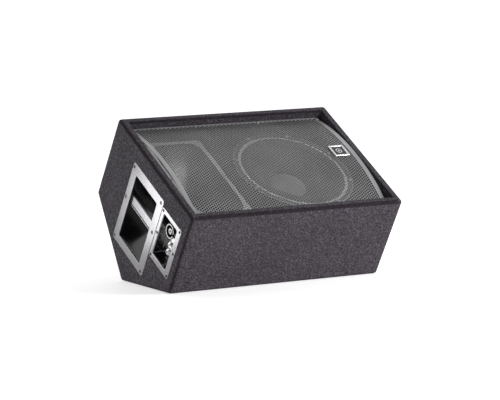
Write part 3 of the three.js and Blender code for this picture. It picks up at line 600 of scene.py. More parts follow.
def cut_away(bm, *cutters):
    """bm less the cutters."""
    body = as_object(bm, "body")
    tools = [as_object(cutter, "cutter") for cutter in cutters]
    for tool in tools:
        modifier = body.modifiers.new("cut", "BOOLEAN")
        modifier.operation = "DIFFERENCE"
        modifier.solver = "EXACT"
        modifier.object = tool
    apply_modifiers(body)
    for tool in tools:
        taken_back(tool).free()
    result = taken_back(body)
    bmesh.ops.remove_doubles(result, verts=result.verts, dist=1e-6)
    return result


def finish_piece(name, bm, slot, replaces=(), body="root", place=None, materials=None, sharp=35,
                 blend=None):
    """Puts a bmesh into the scene as a piece of the wedge: its place, finish, body and CAD nodes."""
    bmesh.ops.transform(bm, matrix=FACE @ (place or Matrix.Identity(4)), verts=bm.verts)
    obj = as_object(bm, name)
    for material in materials or [FINISHES[slot]]:
        obj.data.materials.append(material)
    obj.data.shade_smooth()
    obj.data.set_sharp_from_angle(angle=math.radians(sharp))
    if blend:
        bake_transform(obj)
    else:
        flat = obj.modifiers.new("flat faces shade flat", "WEIGHTED_NORMAL")
        flat.keep_sharp = True
        apply_modifiers(obj)
        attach(obj, body)
    if replaces:
        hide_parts(*replaces)


def finish_copies(bm, slot, places, **settings):
    """The same mesh as one piece for each CAD node, from the nodes' names and places."""
    for node, place in places.items():
        finish_piece(node, bm.copy(), slot, [node], place=place, **settings)
    bm.free()


# ------------------------------------------------------------------ carpet
def cabinet_block(recess_z):
    """The cabinet as a closed block with its recess. Each edge to be rounded has a bevel weight."""
    bm = bmesh.new()
    section = [(-FACE_HALF, 0), (-FACE_HALF, -SIDE_DEPTH), (0, -KEEL_DEPTH), (FACE_HALF, -SIDE_DEPTH),
               (FACE_HALF, 0)]
    ends = [[bm.verts.new((x, y, z)) for y, z in section] for x in (-END_X, END_X)]
    bm.faces.new(ends[0])
    bm.faces.new(reversed(ends[1]))
    count = len(section)
    sides = [bm.faces.new([ends[0][i], ends[1][i], ends[1][(i + 1) % count], ends[0][(i + 1) % count]])
             for i in range(count)]
    bmesh.ops.recalc_face_normals(bm, faces=bm.faces)
    weight = bm.edges.layers.float.new("bevel_weight_edge")
    for edge in bm.edges:
        edge[weight] = math.tan(edge.calc_face_angle(0.0) / 2)
    top = sides[-1]
    bmesh.ops.inset_region(bm, faces=[top], thickness=END_X - BAY_X, use_even_offset=True)
    for edge in bm.edges:
        inside = [abs(v.co.x) < END_X - 1e-4 for v in edge.verts]
        if all(inside) and all(abs(v.co.z) < 1e-6 for v in edge.verts):
            edge[weight] = sizes().rim_radius / sizes().edge_radius
        elif any(inside):
            edge[weight] = 0.0
    extruded = bmesh.ops.extrude_face_region(bm, geom=[top])["geom"]
    floor = next(item for item in extruded if isinstance(item, bmesh.types.BMFace))
    bmesh.ops.translate(bm, verts=floor.verts, vec=(0, 0, recess_z))
    if top.is_valid:
        bm.faces.remove(top)
    for edge in bm.edges:
        if all(v.co.z < recess_z + 1e-5 for v in edge.verts) and edge in floor.edges:
            edge[weight] = 0.0
        elif abs(edge.verts[0].co.z - edge.verts[1].co.z) > abs(recess_z) - 1e-5:
            if all(abs(v.co.x) < END_X - 1e-4 for v in edge.verts):
                edge[weight] = 0.0
    return bm


def carpet_skin(recess_z, low_x, high_x, keep_end_walls):
    """The carpet's outer surface between two x, with the cabinet's edges rounded, as a bmesh."""
    bm = modified(cabinet_block(recess_z), "BEVEL", width=sizes().edge_radius, limit_method="WEIGHT",
                  segments=8, use_clamp_overlap=False)
    floors = [f for f in bm.faces if f.normal.z > 0.9 and f.calc_center_median().z < recess_z + 1e-4]
    bmesh.ops.delete(bm, geom=floors, context="FACES")
    for plane_x, direction in ((low_x, -1), (high_x, 1)):
        if abs(plane_x) < END_X:
            geometry = bm.verts[:] + bm.edges[:] + bm.faces[:]
            bmesh.ops.bisect_plane(bm, geom=geometry, plane_co=(plane_x, 0, 0), plane_no=(direction, 0, 0),
                                   dist=1e-7, clear_outer=True)
    if not keep_end_walls:
        walls = [f for f in bm.faces if abs(f.normal.x) > 0.99]
        bmesh.ops.delete(bm, geom=walls, context="FACES")
    bmesh.ops.delete(bm, geom=[v for v in bm.verts if not v.link_faces], context="VERTS")
    return bm


def thickened(bm, thickness, walls=0):
    """A sheet given its thickness, with material number walls on the new edges."""
    return modified(bm, "SOLIDIFY", slots=walls + 1, thickness=thickness, offset=-1,
                    use_even_offset=True, material_offset_rim=walls)


def mark_edges(bm):
    """Records how far each point is round an edge, where the carpet is painted darker as shade."""
    edge = bm.verts.layers.float.new("edge")
    tilt = math.radians(60)
    flats = [Vector((1, 0, 0)), Vector((0, 1, 0)), Vector((0, 0, 1)),
             Vector((0, math.cos(tilt), math.sin(tilt))), Vector((0, math.cos(tilt), -math.sin(tilt)))]
    bm.normal_update()
    for vert in bm.verts:
        widest = max(vert.link_faces, key=lambda face: face.calc_area())
        on_flat = max(abs(widest.normal.dot(flat)) for flat in flats) > 0.999
        nearest = max(abs(vert.normal.dot(flat)) for flat in flats)
        vert[edge] = 0.0 if on_flat else min(1.0, max(0.0, (0.995 - nearest) / 0.12))
    return bm


def plate_pocket():
    """The place in the left end piece that both plates are let into."""
    gap = 0.5 * MM
    handle, dish = (
        (-high.y - gap, low.z - gap, -low.y + gap, high.z + gap)
        for low, high in (face_box("handle_plate"), face_box("input_plate")))
    points = rounded([
        (handle[0], handle[1], 7 * MM), (handle[2], handle[1], 7 * MM), (handle[2], dish[1], 0),
        (dish[2], dish[1], 5 * MM), (dish[2], dish[3], 5 * MM), (handle[2], dish[3], 0),
        (handle[2], handle[3], 7 * MM), (handle[0], handle[3], 7 * MM),
    ])
    pocket = slab([points], -6 * MM, 5 * MM)
    bmesh.ops.transform(pocket, matrix=end_frame(-END_X), verts=pocket.verts)
    return pocket


class WEDGE_OT_carpet(bpy.types.Operator):
    """Cover the cabinet with carpet: one long wrap and two end pieces"""
    bl_idname = "wedge.carpet"
    bl_label = "Carpet"

    def execute(self, context):
        thickness = sizes().carpet_thickness
        turn_in_z = max(face_box("grille")[0].z + 1 * MM, face_box("carpet_right_end")[0].z)
        flap_z = face_box("baffle_board")[1].z + 0.5 * MM
        seam_x = BAY_X - SEAM_OVERLAP
        beyond = 2 * END_X
        wrap = thickened(carpet_skin(turn_in_z, -seam_x, seam_x, False), thickness)
        right = thickened(carpet_skin(flap_z, seam_x, beyond, True), thickness)
        left = thickened(carpet_skin(flap_z, -beyond, -seam_x, True), thickness)
        left = cut_away(left, plate_pocket())
        for node, bm in (("carpet_wrap", wrap), ("carpet_right_end", right), ("carpet_left_end", left)):
            finish_piece(node, mark_edges(bm), "carpet", [node], sharp=60)
        return {"FINISHED"}


# ------------------------------------------------------------------ screws
def cross_head(radius, height, domed, recess=0.55):
    """A screw's head with a cross recess, its underside at z = 0."""
    steps = 6
    if domed:
        dome = [(radius * math.cos(a), height * (0.35 + 0.65 * math.sin(a)))
                for a in (math.pi / 2 * k / steps for k in range(steps))]
        profile = [(0, 0), (radius * 0.98, 0), *dome, (0, height)]
    else:
        rim = radius * 0.06
        profile = [(0, 0), (radius * 0.8, 0), (radius, height - rim), (radius - rim, height), (0, height)]
    head = turned(profile, 28)
    width, reach = radius * 0.16, radius * recess
    arms = [slab([rectangle(-a, -b, a, b, 0)], height * 0.45, height * 2)
            for a, b in ((width, reach), (reach, width))]
    return cut_away(head, *arms)


def copies(bm, places):
    """The same mesh at several places, turned a little differently each time, as one bmesh."""
    mesh = bpy.data.meshes.new("copies")
    bm.to_mesh(mesh)
    bm.free()
    result = bmesh.new()
    for i, place in enumerate(places):
        start = len(result.verts)
        result.from_mesh(mesh)
        result.verts.ensure_lookup_table()
        twist = Matrix.Rotation(0.7 + 1.9 * i, 4, "Z")
        bmesh.ops.transform(result, matrix=place @ twist, verts=result.verts[start:])
    bpy.data.meshes.remove(mesh)
    return result


# ------------------------------------------------------------------ carrying handle
def across_prism(points, y_low, y_high, bevel=0.0):
    """A prism along y from an outline of (z, height towards -x) points."""
    bm = slab([points], -y_high, -y_low, bevel)
    turn = Matrix(((0, -1, 0), (0, 0, -1), (1, 0, 0))).to_4x4()
    bmesh.ops.transform(bm, matrix=turn, verts=bm.verts)
    return bm


class WEDGE_OT_handle(bpy.types.Operator):
    """Make the carrying handle: its plate, trough, grip and screws"""
    bl_idname = "wedge.handle"
    bl_label = "Carrying handle"

    def execute(self, context):
        low, high = face_box("handle_plate")
        trough_low, trough_high = face_box("handle_trough")
        window_y = (trough_low.y + TROUGH_WALL, trough_high.y - TROUGH_WALL)
        screws = [face_middle(f"handle_screw_{i}") for i in range(1, 7)]
        plate = slab([
            rectangle(-high.y, low.z, -low.y, high.z, 7 * MM, 8),
            rectangle(-window_y[1], HANDLE_WINDOW_Z[0], -window_y[0], HANDLE_WINDOW_Z[1], 3.5 * MM, 6),
            *[circle(-s.y, s.z, 4.5 * MM, 28) for s in screws]], 0, high.x - low.x, 0.7 * MM, 3)
        finish_piece("handle_plate", plate, "plate_steel", ["handle_plate"], place=end_frame(high.x),
                     sharp=30)

        # The trough is part of a cylinder lying across the handle, closed by two flat cheeks.
        mouth_x = trough_low.x
        deep_x = trough_high.x - TROUGH_WALL
        half = (HANDLE_WINDOW_Z[1] - HANDLE_WINDOW_Z[0]) / 2
        depth = deep_x - low.x
        radius = (half ** 2 + depth ** 2) / (2 * depth)
        middle_z = sum(HANDLE_WINDOW_Z) / 2
        outside = across_prism(self.arc(middle_z, deep_x, radius, TROUGH_WALL, mouth_x),
                               trough_low.y, trough_high.y)
        inside = across_prism(self.arc(middle_z, deep_x, radius, 0, mouth_x - 6 * MM), *window_y)
        trough = modified(cut_away(outside, inside), "BEVEL", width=TROUGH_CREASE, segments=6,
                          angle_limit=math.radians(50))
        finish_piece("handle_trough", trough, "trough_plastic", ["handle_trough"], sharp=40)

        grip_low, grip_high = face_box("handle_grip")
        grip = across_prism(self.grip_section(grip_low, grip_high), grip_low.y, grip_high.y)
        # The groove along the grip's lower edge is painted black as a painted shadow line.
        for face in grip.faces:
            middle = face.calc_center_median()
            below_face = middle.x > grip_low.x + 0.5 * MM
            if below_face and grip_low.z + 3.6 * MM < middle.z < grip_low.z + 7.4 * MM:
                face.material_index = 1
        finish_piece("handle_grip", grip, "plate_steel", ["handle_grip"], sharp=30,
                     materials=[FINISHES["plate_steel"], FINISHES["trough_plastic"]])

        places = {}
        for i, screw in enumerate(screws, 1):
            seat = end_frame(high.x, screw.y, screw.z)
            places[f"handle_screw_{i}"] = seat @ Matrix.Rotation(0.5 * i, 4, "Z")
        finish_copies(cross_head(4.3 * MM, 2.3 * MM, False, 0.62), "screw_steel", places)
        return {"FINISHED"}

    @staticmethod
    def arc(middle_z, deep_x, radius, wall, mouth_x, steps=40):
        """An outline of (z, -x) points: the trough's arc, closed across its mouth."""
        centre_x = deep_x - radius
        half = math.acos((mouth_x - centre_x) / (radius + wall))
        points = []
        for k in range(steps + 1):
            angle = -half + 2 * half * k / steps
            points.append(Vector((middle_z + (radius + wall) * math.sin(angle),
                                  -(centre_x + (radius + wall) * math.cos(angle)))))
        return points

    @staticmethod
    def grip_section(low, high):
        """A channel with rounded bends and a groove along its lower edge, as (z, -x) points."""
        face, legs, sheet = -low.x, -high.x, 2.5 * MM
        groove = 1.5 * MM
        z0, z1 = low.z, high.z
        return rounded([
            (z0, legs, 0), (z0 + sheet, legs, 0), (z0 + sheet, face - sheet, 1.5 * MM),
            (z1 - sheet, face - sheet, 1.5 * MM), (z1 - sheet, legs, 0), (z1, legs, 0), (z1, face, 4 * MM),
            (z0 + 7.0 * MM, face, 0.3 * MM), (z0 + 6.8 * MM, face - groove, 0.3 * MM),
            (z0 + 4.0 * MM, face - groove, 0.3 * MM), (z0 + 3.8 * MM, face, 0.3 * MM), (z0, face, 2 * MM),
        ], 5)


# ------------------------------------------------------------------ input dish
class WEDGE_OT_input_dish(bpy.types.Operator):
    """Make the input plate with its sunk dish, the speaker socket, the phone jacks and the screws"""
    bl_idname = "wedge.input_dish"
    bl_label = "Input dish"

    def execute(self, context):
        low, high = face_box("input_plate")
        face_x, floor_back = low.x, high.x
        floor_x = floor_back - DISH_SHEET
        plate = self.pressing((-high.y, low.z, -low.y, high.z), face_x, face_x + 2.4 * MM, floor_x)
        sockets = [face_middle(node) for node in ("speaker_socket", "phone_jack_1", "phone_jack_2")]
        bores = (13.3 * MM, 4.9 * MM, 4.9 * MM)
        cutters = [slab([circle(-socket.y, socket.z, bore, 32)], -floor_back - 5 * MM, -floor_x + 5 * MM)
                   for socket, bore in zip(sockets, bores)]
        plate = cut_away(plate, *cutters)
        # The dish's walls are painted black as painted shade, though they are the same pressed steel; its floor
        # takes the dish steel.
        for face in plate.faces:
            x, y, height = face.calc_center_median()
            inside = DISH[0] - 1 * MM < x < DISH[2] + 1 * MM and DISH[1] - 1 * MM < y < DISH[3] + 1 * MM
            if inside and height < -face_x - 1.5 * MM:
                face.material_index = 2 if height < -floor_x + 0.2 * MM else 1
        finish_piece("input_plate", plate, "plate_steel", ["input_plate"], place=end_frame(0), sharp=32,
                     materials=[FINISHES["plate_steel"], FINISHES["trough_plastic"], FINISHES["dish_steel"]])

        screw_places = [Matrix.Translation((-y, z, -face_x)) for y in DISH_SCREWS_Y for z in DISH_SCREWS_Z]
        screws = copies(cross_head(3.6 * MM, 1.5 * MM, True, 0.6), screw_places)
        finish_piece("input_plate_screws", screws, "screw_steel", place=end_frame(0))

        self.speaker_socket(floor_x, sockets[0].y, sockets[0].z)
        places = {}
        for i, socket in enumerate(sockets[1:], 1):
            seat = end_frame(floor_x, socket.y, socket.z)
            places[f"phone_jack_{i}"] = seat @ Matrix.Rotation(0.35 * i, 4, "Z")
        finish_copies(self.phone_jack(), "jack_nickel", places)
        return {"FINISHED"}

    @staticmethod
    def pressing(flange, face_x, flange_back, floor_x):
        """The flange and the dish as one pressed sheet, drawn with heights of -x."""
        top, under, floor = -face_x, -flange_back, -floor_x
        bend, edge = 2.5 * MM, 0.8 * MM
        flange_corner, dish_corner = 5 * MM, 4 * MM

        def ring(box, corner, inset, height):
            x0, y0, x1, y1 = box
            radius = max(corner - inset, 0.4 * MM)
            points = rectangle(x0 + inset, y0 + inset, x1 - inset, y1 - inset, radius, 6)
            return [(p.x, p.y, height) for p in points]

        rings = [ring(DISH, dish_corner, -DISH_SHEET, floor - DISH_SHEET),
                 ring(DISH, dish_corner, -DISH_SHEET, under - 0.5 * MM),
                 ring(DISH, dish_corner, -2 * DISH_SHEET, under),
                 ring(flange, flange_corner, 0, under)]
        for k in range(4):
            c, s = math.cos(math.pi / 2 * k / 3), math.sin(math.pi / 2 * k / 3)
            rings.append(ring(flange, flange_corner, edge * (1 - c), top - edge * (1 - s)))
        bends = [(math.cos(a), math.sin(a)) for a in (math.pi / 2 * k / 5 for k in range(6))]
        rings += [ring(DISH, dish_corner, -bend * (1 - s), top - bend * (1 - c)) for c, s in bends]
        rings += [ring(DISH, dish_corner, bend * (1 - c), floor + bend * (1 - s)) for c, s in bends]
        return skin(rings, closed_ends=True)

    @staticmethod
    def speaker_socket(floor_x, y, z):
        """Square flange, keyed collar and core, with the plug's ring-shaped space between them."""
        side = 19 * MM
        flange = slab([rectangle(-side, -side, side, side, 4 * MM), circle(0, 0, 14.8 * MM, 48)],
                      0.3 * MM, 2.8 * MM, 0.5 * MM)
        collar_line = [(15, 3), (15, 16), (18, 16), (18, 0.5), (16.4, 0.5), (16.4, 3)]
        collar = turned(eased([(r * MM, z * MM) for r, z in collar_line], 0.4 * MM), 72)
        core_line = [(0, -15), (13, -15), (13, 3.2), (7.5, 3.2), (7.5, 13.9), (6.9, 14.5), (3.2, 14.5),
                     (3.2, 11), (0, 11)]
        core = turned([(r * MM, z * MM) for r, z in core_line], 64)
        keys = []
        for turn in (0, math.pi / 2, math.pi, 1.5 * math.pi):
            slot = slab([rectangle(6.4 * MM, -1.4 * MM, 9 * MM, 1.4 * MM, 0)], 7 * MM, 15.5 * MM)
            bmesh.ops.rotate(slot, cent=(0, 0, 0), matrix=Matrix.Rotation(turn, 3, "Z"), verts=slot.verts)
            keys.append(slot)
        core = cut_away(core, *keys)
        notch = slab([rectangle(13.5 * MM, -2.6 * MM, 19 * MM, 2.6 * MM, 0)], 10 * MM, 17 * MM)
        collar = cut_away(collar, notch)
        place = end_frame(floor_x, y, z)
        # The front faces of the collar and core are painted pale grey as a painted highlight on the black socket.
        for part in (collar, core):
            part.normal_update()
            for face in part.faces:
                if face.normal.z > 0.6 and face.calc_center_median().z > 13 * MM:
                    face.material_index = 1
        finish_piece("speaker_socket", join_meshes(flange, collar, core), "socket_plastic",
                     ["speaker_socket"], place=place, sharp=32,
                     materials=[FINISHES["socket_plastic"], FINISHES["socket_ring"]])
        corner = 14.6 * MM
        head = cross_head(2.6 * MM, 1.4 * MM, True, 0.6)
        spots = [Matrix.Translation((a * corner, b * corner, 2.8 * MM)) for a in (-1, 1) for b in (-1, 1)]
        finish_piece("speaker_socket_screws", copies(head, spots), "screw_steel", place=place)

    @staticmethod
    def phone_jack():
        """Washer, six-sided nut and sleeve of a phone jack."""
        washer = slab([circle(0, 0, 8.4 * MM, 40), circle(0, 0, 5.1 * MM, 40)], 0, 0.7 * MM, 0.15 * MM)
        flats = [Vector((7.3 * MM * math.cos(a), 7.3 * MM * math.sin(a)))
                 for a in (math.pi / 3 * k for k in range(6))]
        nut = slab([flats, circle(0, 0, 5.1 * MM, 40)], 0.7 * MM, 3.9 * MM, 0.45 * MM)
        sleeve_line = [(3.3, -12), (5.1, -12), (5.1, 5.5), (4.6, 6), (3.9, 6), (3.3, 5.4)]
        sleeve = turned([(r * MM, z * MM) for r, z in sleeve_line], 48)
        throat = turned([(0, -12 * MM), (3.3 * MM, -12 * MM), (3.3 * MM, -11 * MM), (0, -11 * MM)], 24)
        return join_meshes(washer, nut, sleeve, throat)


# ------------------------------------------------------------------ grille
class WEDGE_OT_grille(bpy.types.Operator):
    """Make the perforated grille and its screws"""
    bl_idname = "wedge.grille"
    bl_label = "Grille"

    def execute(self, context):
        # The hole walls and the sheet's edges are painted black as painted shade; the real walls carry the
        # grille's paint.
        sheet = thickened(self.sheet(*face_box("grille")), GRILLE_SHEET, walls=1)
        finish_piece("grille", sheet, "grille_steel", ["grille"], sharp=40,
                     materials=[FINISHES["grille_steel"], FINISHES["black_paint"]])
        height = 2.6 * MM
        places = {}
        for side in ("top", "bottom"):
            for i in range(1, 5):
                node = f"grille_screw_{side}_{i}"
                middle = face_middle(node)
                seat = Vector((middle.x, middle.y, face_box(node)[1].z - height))
                places[node] = Matrix.Translation(seat) @ Matrix.Rotation(1.3 * i, 4, "Z")
        finish_copies(cross_head(4 * MM, height, True), "screw_steel", places,
                      materials=[FINISHES["bright_screw"]])
        return {"FINISHED"}

    @staticmethod
    def sheet(low, high):
        """The outer surface: flat edges, an arch with staggered rows of holes, and plain margins."""
        pitch = sizes().hole_pitch
        column = pitch * math.sqrt(3) / 2
        hole = sizes().hole_diameter / 2 * 1.055  # eight sides with a round hole's area
        rise = high.z - GRILLE_EDGE_Z
        radius = (GRILLE_FOOT ** 2 + rise ** 2) / (2 * rise)
        foot_run = radius * math.asin(GRILLE_FOOT / radius)  # along the sheet, as every run is
        columns = int((high.x - low.x - 2 * sizes().grille_margin) / column) // 2 * 2
        start_x = (low.x + high.x) / 2 - columns * column / 2
        edge_run = foot_run + high.y - GRILLE_FOOT
        rows = int((2 * edge_run - pitch) / pitch)
        start_run = -(rows * pitch + pitch / 2) / 2

        def on_sheet(x, run):
            if abs(run) <= foot_run:
                angle = run / radius
                return (x, radius * math.sin(angle), high.z - radius + radius * math.cos(angle))
            return (x, math.copysign(GRILLE_FOOT + abs(run) - foot_run, run), GRILLE_EDGE_Z)

        bm = bmesh.new()
        grid = {}
        xs = [low.x] + [start_x + column / 2 * i for i in range(2 * columns + 1)] + [high.x]
        runs = [-edge_run] + [start_run + pitch / 2 * j for j in range(2 * rows + 2)] + [edge_run]

        def corner(i, j):
            if (i, j) not in grid:
                grid[i, j] = bm.verts.new(on_sheet(xs[i], runs[j]))
            return grid[i, j]

        around = [(0, 0), (1, 0), (2, 0), (2, 1), (2, 2), (1, 2), (0, 2), (0, 1)]
        last_i, last_j = len(xs) - 1, len(runs) - 1
        for c in range(columns):
            i = 1 + 2 * c
            first_j = 1 + c % 2
            for j in range(first_j, first_j + 2 * rows, 2):
                bore = []
                for a, b in around:
                    away = Vector(((a - 1) * column, (b - 1) * pitch)).normalized() * hole
                    bore.append(bm.verts.new(on_sheet(xs[i + 1] + away.x, runs[j + 1] + away.y)))
                for k in range(0, 8, 4):
                    left, right = (corner(i + around[n][0], j + around[n][1]) for n in (k, k + 2))
                    bm.faces.new([left, right, bore[k + 1]])
                    bm.faces.new([left, bore[k + 1], bore[k]])
                    bm.faces.new([right, bore[k + 2], bore[k + 1]])
                for k in (2, 3, 6, 7):
                    n = (k + 1) % 8
                    low_rim, high_rim = (corner(i + around[m][0], j + around[m][1]) for m in (k, n))
                    bm.faces.new([low_rim, high_rim, bore[n], bore[k]])
            for j in [*range(first_j), *range(first_j + 2 * rows, last_j)]:
                bm.faces.new([corner(i, j), corner(i + 2, j), corner(i + 2, j + 1), corner(i, j + 1)])
        for i in (0, last_i - 1):
            for j in range(last_j):
                bm.faces.new([corner(i, j), corner(i + 1, j), corner(i + 1, j + 1), corner(i, j + 1)])
        bmesh.ops.recalc_face_normals(bm, faces=bm.faces)
        bm.faces.ensure_lookup_table()
        if bm.faces[0].normal.z < 0:
            bmesh.ops.reverse_faces(bm, faces=bm.faces)
        return bm


class WEDGE_OT_badge(bpy.types.Operator):
    """Make the badge: a bevelled frame, a dark insert and a plain ring on it"""
    bl_idname = "wedge.badge"
    bl_label = "Badge"

    def execute(self, context):
        low, high = face_box("badge_frame")
        insert_low, insert_high = face_box("badge_insert")
        frame_bm = slab([
            rectangle(low.x, low.y, high.x, high.y, 2.5 * MM),
            rectangle(insert_low.x, insert_low.y, insert_high.x, insert_high.y, 1.2 * MM)],
            low.z, high.z, 1.3 * MM, 4)
        finish_piece("badge_frame", frame_bm, "badge_silver", ["badge_frame"], sharp=25)
        insert = slab([rectangle(insert_low.x, insert_low.y, insert_high.x, insert_high.y, 1 * MM)],
                      insert_low.z, insert_high.z, 0.2 * MM)
        finish_piece("badge_insert", insert, "badge_black", ["badge_insert"])
        x, y = (insert_low.x + insert_high.x) / 2, (insert_low.y + insert_high.y) / 2
        ring = slab([circle(x, y, 8.6 * MM, 48), circle(x, y, 6.4 * MM, 48)],
                    insert_high.z, insert_high.z + 0.5 * MM, 0.15 * MM)
        dot = slab([circle(x, y, 2.8 * MM, 32)], insert_high.z, insert_high.z + 0.5 * MM, 0.15 * MM)
        finish_piece("badge_ring", join_meshes(ring, dot), "badge_silver", sharp=25)
        return {"FINISHED"}


# ------------------------------------------------------------------ woofer and horn
class WEDGE_OT_woofer(bpy.types.Operator):
    """Make the woofer's visible pieces: gasket, surround, cone, dust cap and screws"""
    bl_idname = "wedge.woofer"
    bl_label = "Woofer"

    def execute(self, context):
        axis = face_middle("woofer_gasket")
        place = Matrix.Translation((axis.x, axis.y, 0))
        gasket_low, gasket_high = face_box("woofer_gasket")
        outer = (gasket_high.x - gasket_low.x) / 2
        section = [(GASKET_INNER, gasket_low.z), (outer, gasket_low.z), (outer, gasket_high.z),
                   (GASKET_INNER, gasket_high.z)]
        gasket = turned(eased(section, 0.7 * MM), 120)
        # Beyond this radius the gasket is painted pale grey as a painted highlight.
        for face in gasket.faces:
            face.material_index = 1 if face.calc_center_median().xy.length > GASKET_HIGHLIGHT_RADIUS else 0
        finish_piece("woofer_gasket", gasket, "driver_rubber", ["woofer_gasket"], place=place,
                     materials=[FINISHES["driver_rubber"], FINISHES["highlight_grey"]])
        self.surround(place, gasket_low.z)
        self.cone_and_cap(place)
        count = sizes().woofer_screws
        spots = [Matrix.Translation((WOOFER_SCREW_RING * math.cos(a), WOOFER_SCREW_RING * math.sin(a),
                                     gasket_high.z))
                 for a in (2 * math.pi * (k + 0.5) / count for k in range(count))]
        screws = copies(cross_head(4.2 * MM, 2.4 * MM, True), spots)
        finish_piece("woofer_screws", screws, "screw_steel", place=place,
                     materials=[FINISHES["bright_screw"]])
        return {"FINISHED"}

    @staticmethod
    def surround(place, seat_z):
        """A half roll between the frame and the cone's edge."""
        sheet, middle, inner_z = ROLL["sheet"], ROLL["middle"], ROLL["inner_z"]
        lip_z = seat_z + sheet
        outer_line = [(140.6 * MM, lip_z), (133 * MM, lip_z)]
        steps = 24
        for k in range(steps + 1):
            angle = math.pi * k / steps
            foot = lip_z + (inner_z - seat_z) * k / steps
            outer_line.append((middle + ROLL["half"] * math.cos(angle),
                               foot + (ROLL["crest_z"] - foot) * math.sin(angle)))
        outer_line.append((106 * MM, inner_z + sheet))
        under_line = [(r, z - sheet) for r, z in outer_line]
        roll = turned(outer_line + under_line[::-1], 128)
        # The surround's outer band is painted pale grey as a painted highlight.
        for face in roll.faces:
            face.material_index = 1 if face.calc_center_median().xy.length > 132 * MM else 0
        start, end = (FACE @ Vector((place.translation.x, 0, z)) for z in (seat_z, inner_z))
        finish_piece("woofer_surround", roll, "driver_rubber", ["woofer_surround"], place=place, sharp=60,
                     materials=[FINISHES["driver_rubber"], FINISHES["highlight_grey"]],
                     blend=(("root", "woofer_moving"), start, end))

    @staticmethod
    def cone_and_cap(place):
        """A curved paper cone with shallow ribs round it, and the domed cap glued over its middle."""

        def height_at(radius):
            t = (CONE_EDGE[0] - radius) / (CONE_EDGE[0] - CONE_NECK[0])
            return CONE_EDGE[1] + (CONE_NECK[1] - CONE_EDGE[1]) * t ** 0.82

        steps, first_ridge, last_ridge = 60, 9, 41
        top = []
        for k in range(steps + 1):
            radius = CONE_EDGE[0] + (CONE_NECK[0] - CONE_EDGE[0]) * k / steps
            ridged = first_ridge <= k <= last_ridge
            ridge = 0.35 * MM * (0.5 - 0.5 * math.cos(2 * math.pi * k / 10)) if ridged else 0
            top.append((radius, height_at(radius) + ridge))
        under = [(r, height_at(r) - 1.4 * MM) for r, _ in top]
        cone = turned(top + under[::-1], 128)
        finish_piece("woofer_cone", cone, "paper_cone", ["woofer_cone"], "woofer_moving", place)
        base = height_at(CAP["radius"]) + 1.2 * MM
        dome = [(math.sin(a), math.cos(a)) for a in (math.pi / 2 * k / 20 for k in range(21))]
        shell, lining = ([((CAP["radius"] - inset) * s, base + (CAP["rise"] - inset) * c) for s, c in dome]
                         for inset in (0, CAP["sheet"]))
        cap = turned(shell + lining[::-1], 96)
        # The cap is painted paler than the cone as a painted glow at its middle.
        finish_piece("woofer_dust_cap", cap, "paper_cone", ["woofer_dust_cap"], "woofer_moving", place,
                     materials=[FINISHES["cap_glow_grey"]])


class WEDGE_OT_horn(bpy.types.Operator):
    """Make the horn with its flange, throat and screws"""
    bl_idname = "wedge.horn"
    bl_label = "Horn"

    def execute(self, context):
        low, high = face_box("horn")
        middle_x = (low.x + high.x) / 2
        place = Matrix.Translation((middle_x, 0, 0))
        half_x, half_y = (high.x - low.x) / 2, (high.y - low.y) / 2
        throat_z = low.z
        mouth = (half_x - HORN_LAND, half_y - HORN_LAND)
        sides, steps = 72, 20

        def ring(t, grow):
            opening = (1 - t) ** 1.5
            half_width = HORN_THROAT + (mouth[0] - HORN_THROAT) * opening + grow
            half_height = HORN_THROAT + (mouth[1] - HORN_THROAT) * opening + grow
            square = 1 + (HORN_SQUARENESS - 1) * (1 - t) ** 0.6
            z = high.z + (throat_z - high.z) * t
            points = []
            for k in range(sides):
                angle = 2 * math.pi * (k + 0.5) / sides
                c, s = math.cos(angle), math.sin(angle)
                points.append((half_width * math.copysign(abs(c) ** square, c),
                               half_height * math.copysign(abs(s) ** square, s), z))
            return points

        outside = [ring(k / steps, HORN_SHEET) for k in range(steps + 1)]
        inside = [ring(k / steps, 0) for k in range(steps + 1)]
        shell = skin(outside + inside[::-1], loop=True)
        hole = [Vector(p[:2]) for p in ring(0, HORN_SHEET * 0.4)]
        flange = slab([rectangle(-half_x, -half_y, half_x, half_y, 10 * MM, 8), hole],
                      high.z - HORN_SHEET, high.z, 0.6 * MM)
        # The flange is painted pale grey as a painted highlight on the dark horn.
        for face in flange.faces:
            face.material_index = 1
        collar = turned([(13.2 * MM, throat_z), (32 * MM, throat_z), (32 * MM, throat_z + 5 * MM),
                         (13.2 * MM, throat_z + 5 * MM)], 64)
        finish_piece("horn", join_meshes(shell, flange, collar), "horn_plastic", ["horn"], place=place,
                     sharp=40, materials=[FINISHES["horn_plastic"], FINISHES["highlight_grey"]])
        spots = [Matrix.Translation((x, y, high.z)) for x in (-half_x + 6.5 * MM, half_x - 6.5 * MM)
                 for y in (-half_y + 9 * MM, 0, half_y - 9 * MM)]
        screws = copies(cross_head(3.8 * MM, 2.2 * MM, True), spots)
        finish_piece("horn_screws", screws, "screw_steel", place=place,
                     materials=[FINISHES["bright_screw"]])
        return {"FINISHED"}


# ------------------------------------------------------------------ pieces kept from the frame
class WEDGE_OT_inside(bpy.types.Operator):
    """Give the boards, magnets, crossover and leads that stay as they are their finishes"""
    bl_idname = "wedge.inside"
    bl_label = "Inside pieces"

    def execute(self, context):
        for part in frame["record"]["subparts"]:
            mesh = frame["nodes"][part["node"]].data
            mesh.materials.clear()
            mesh.materials.append(FINISHES[part["material_slot"]])
        return {"FINISHED"}


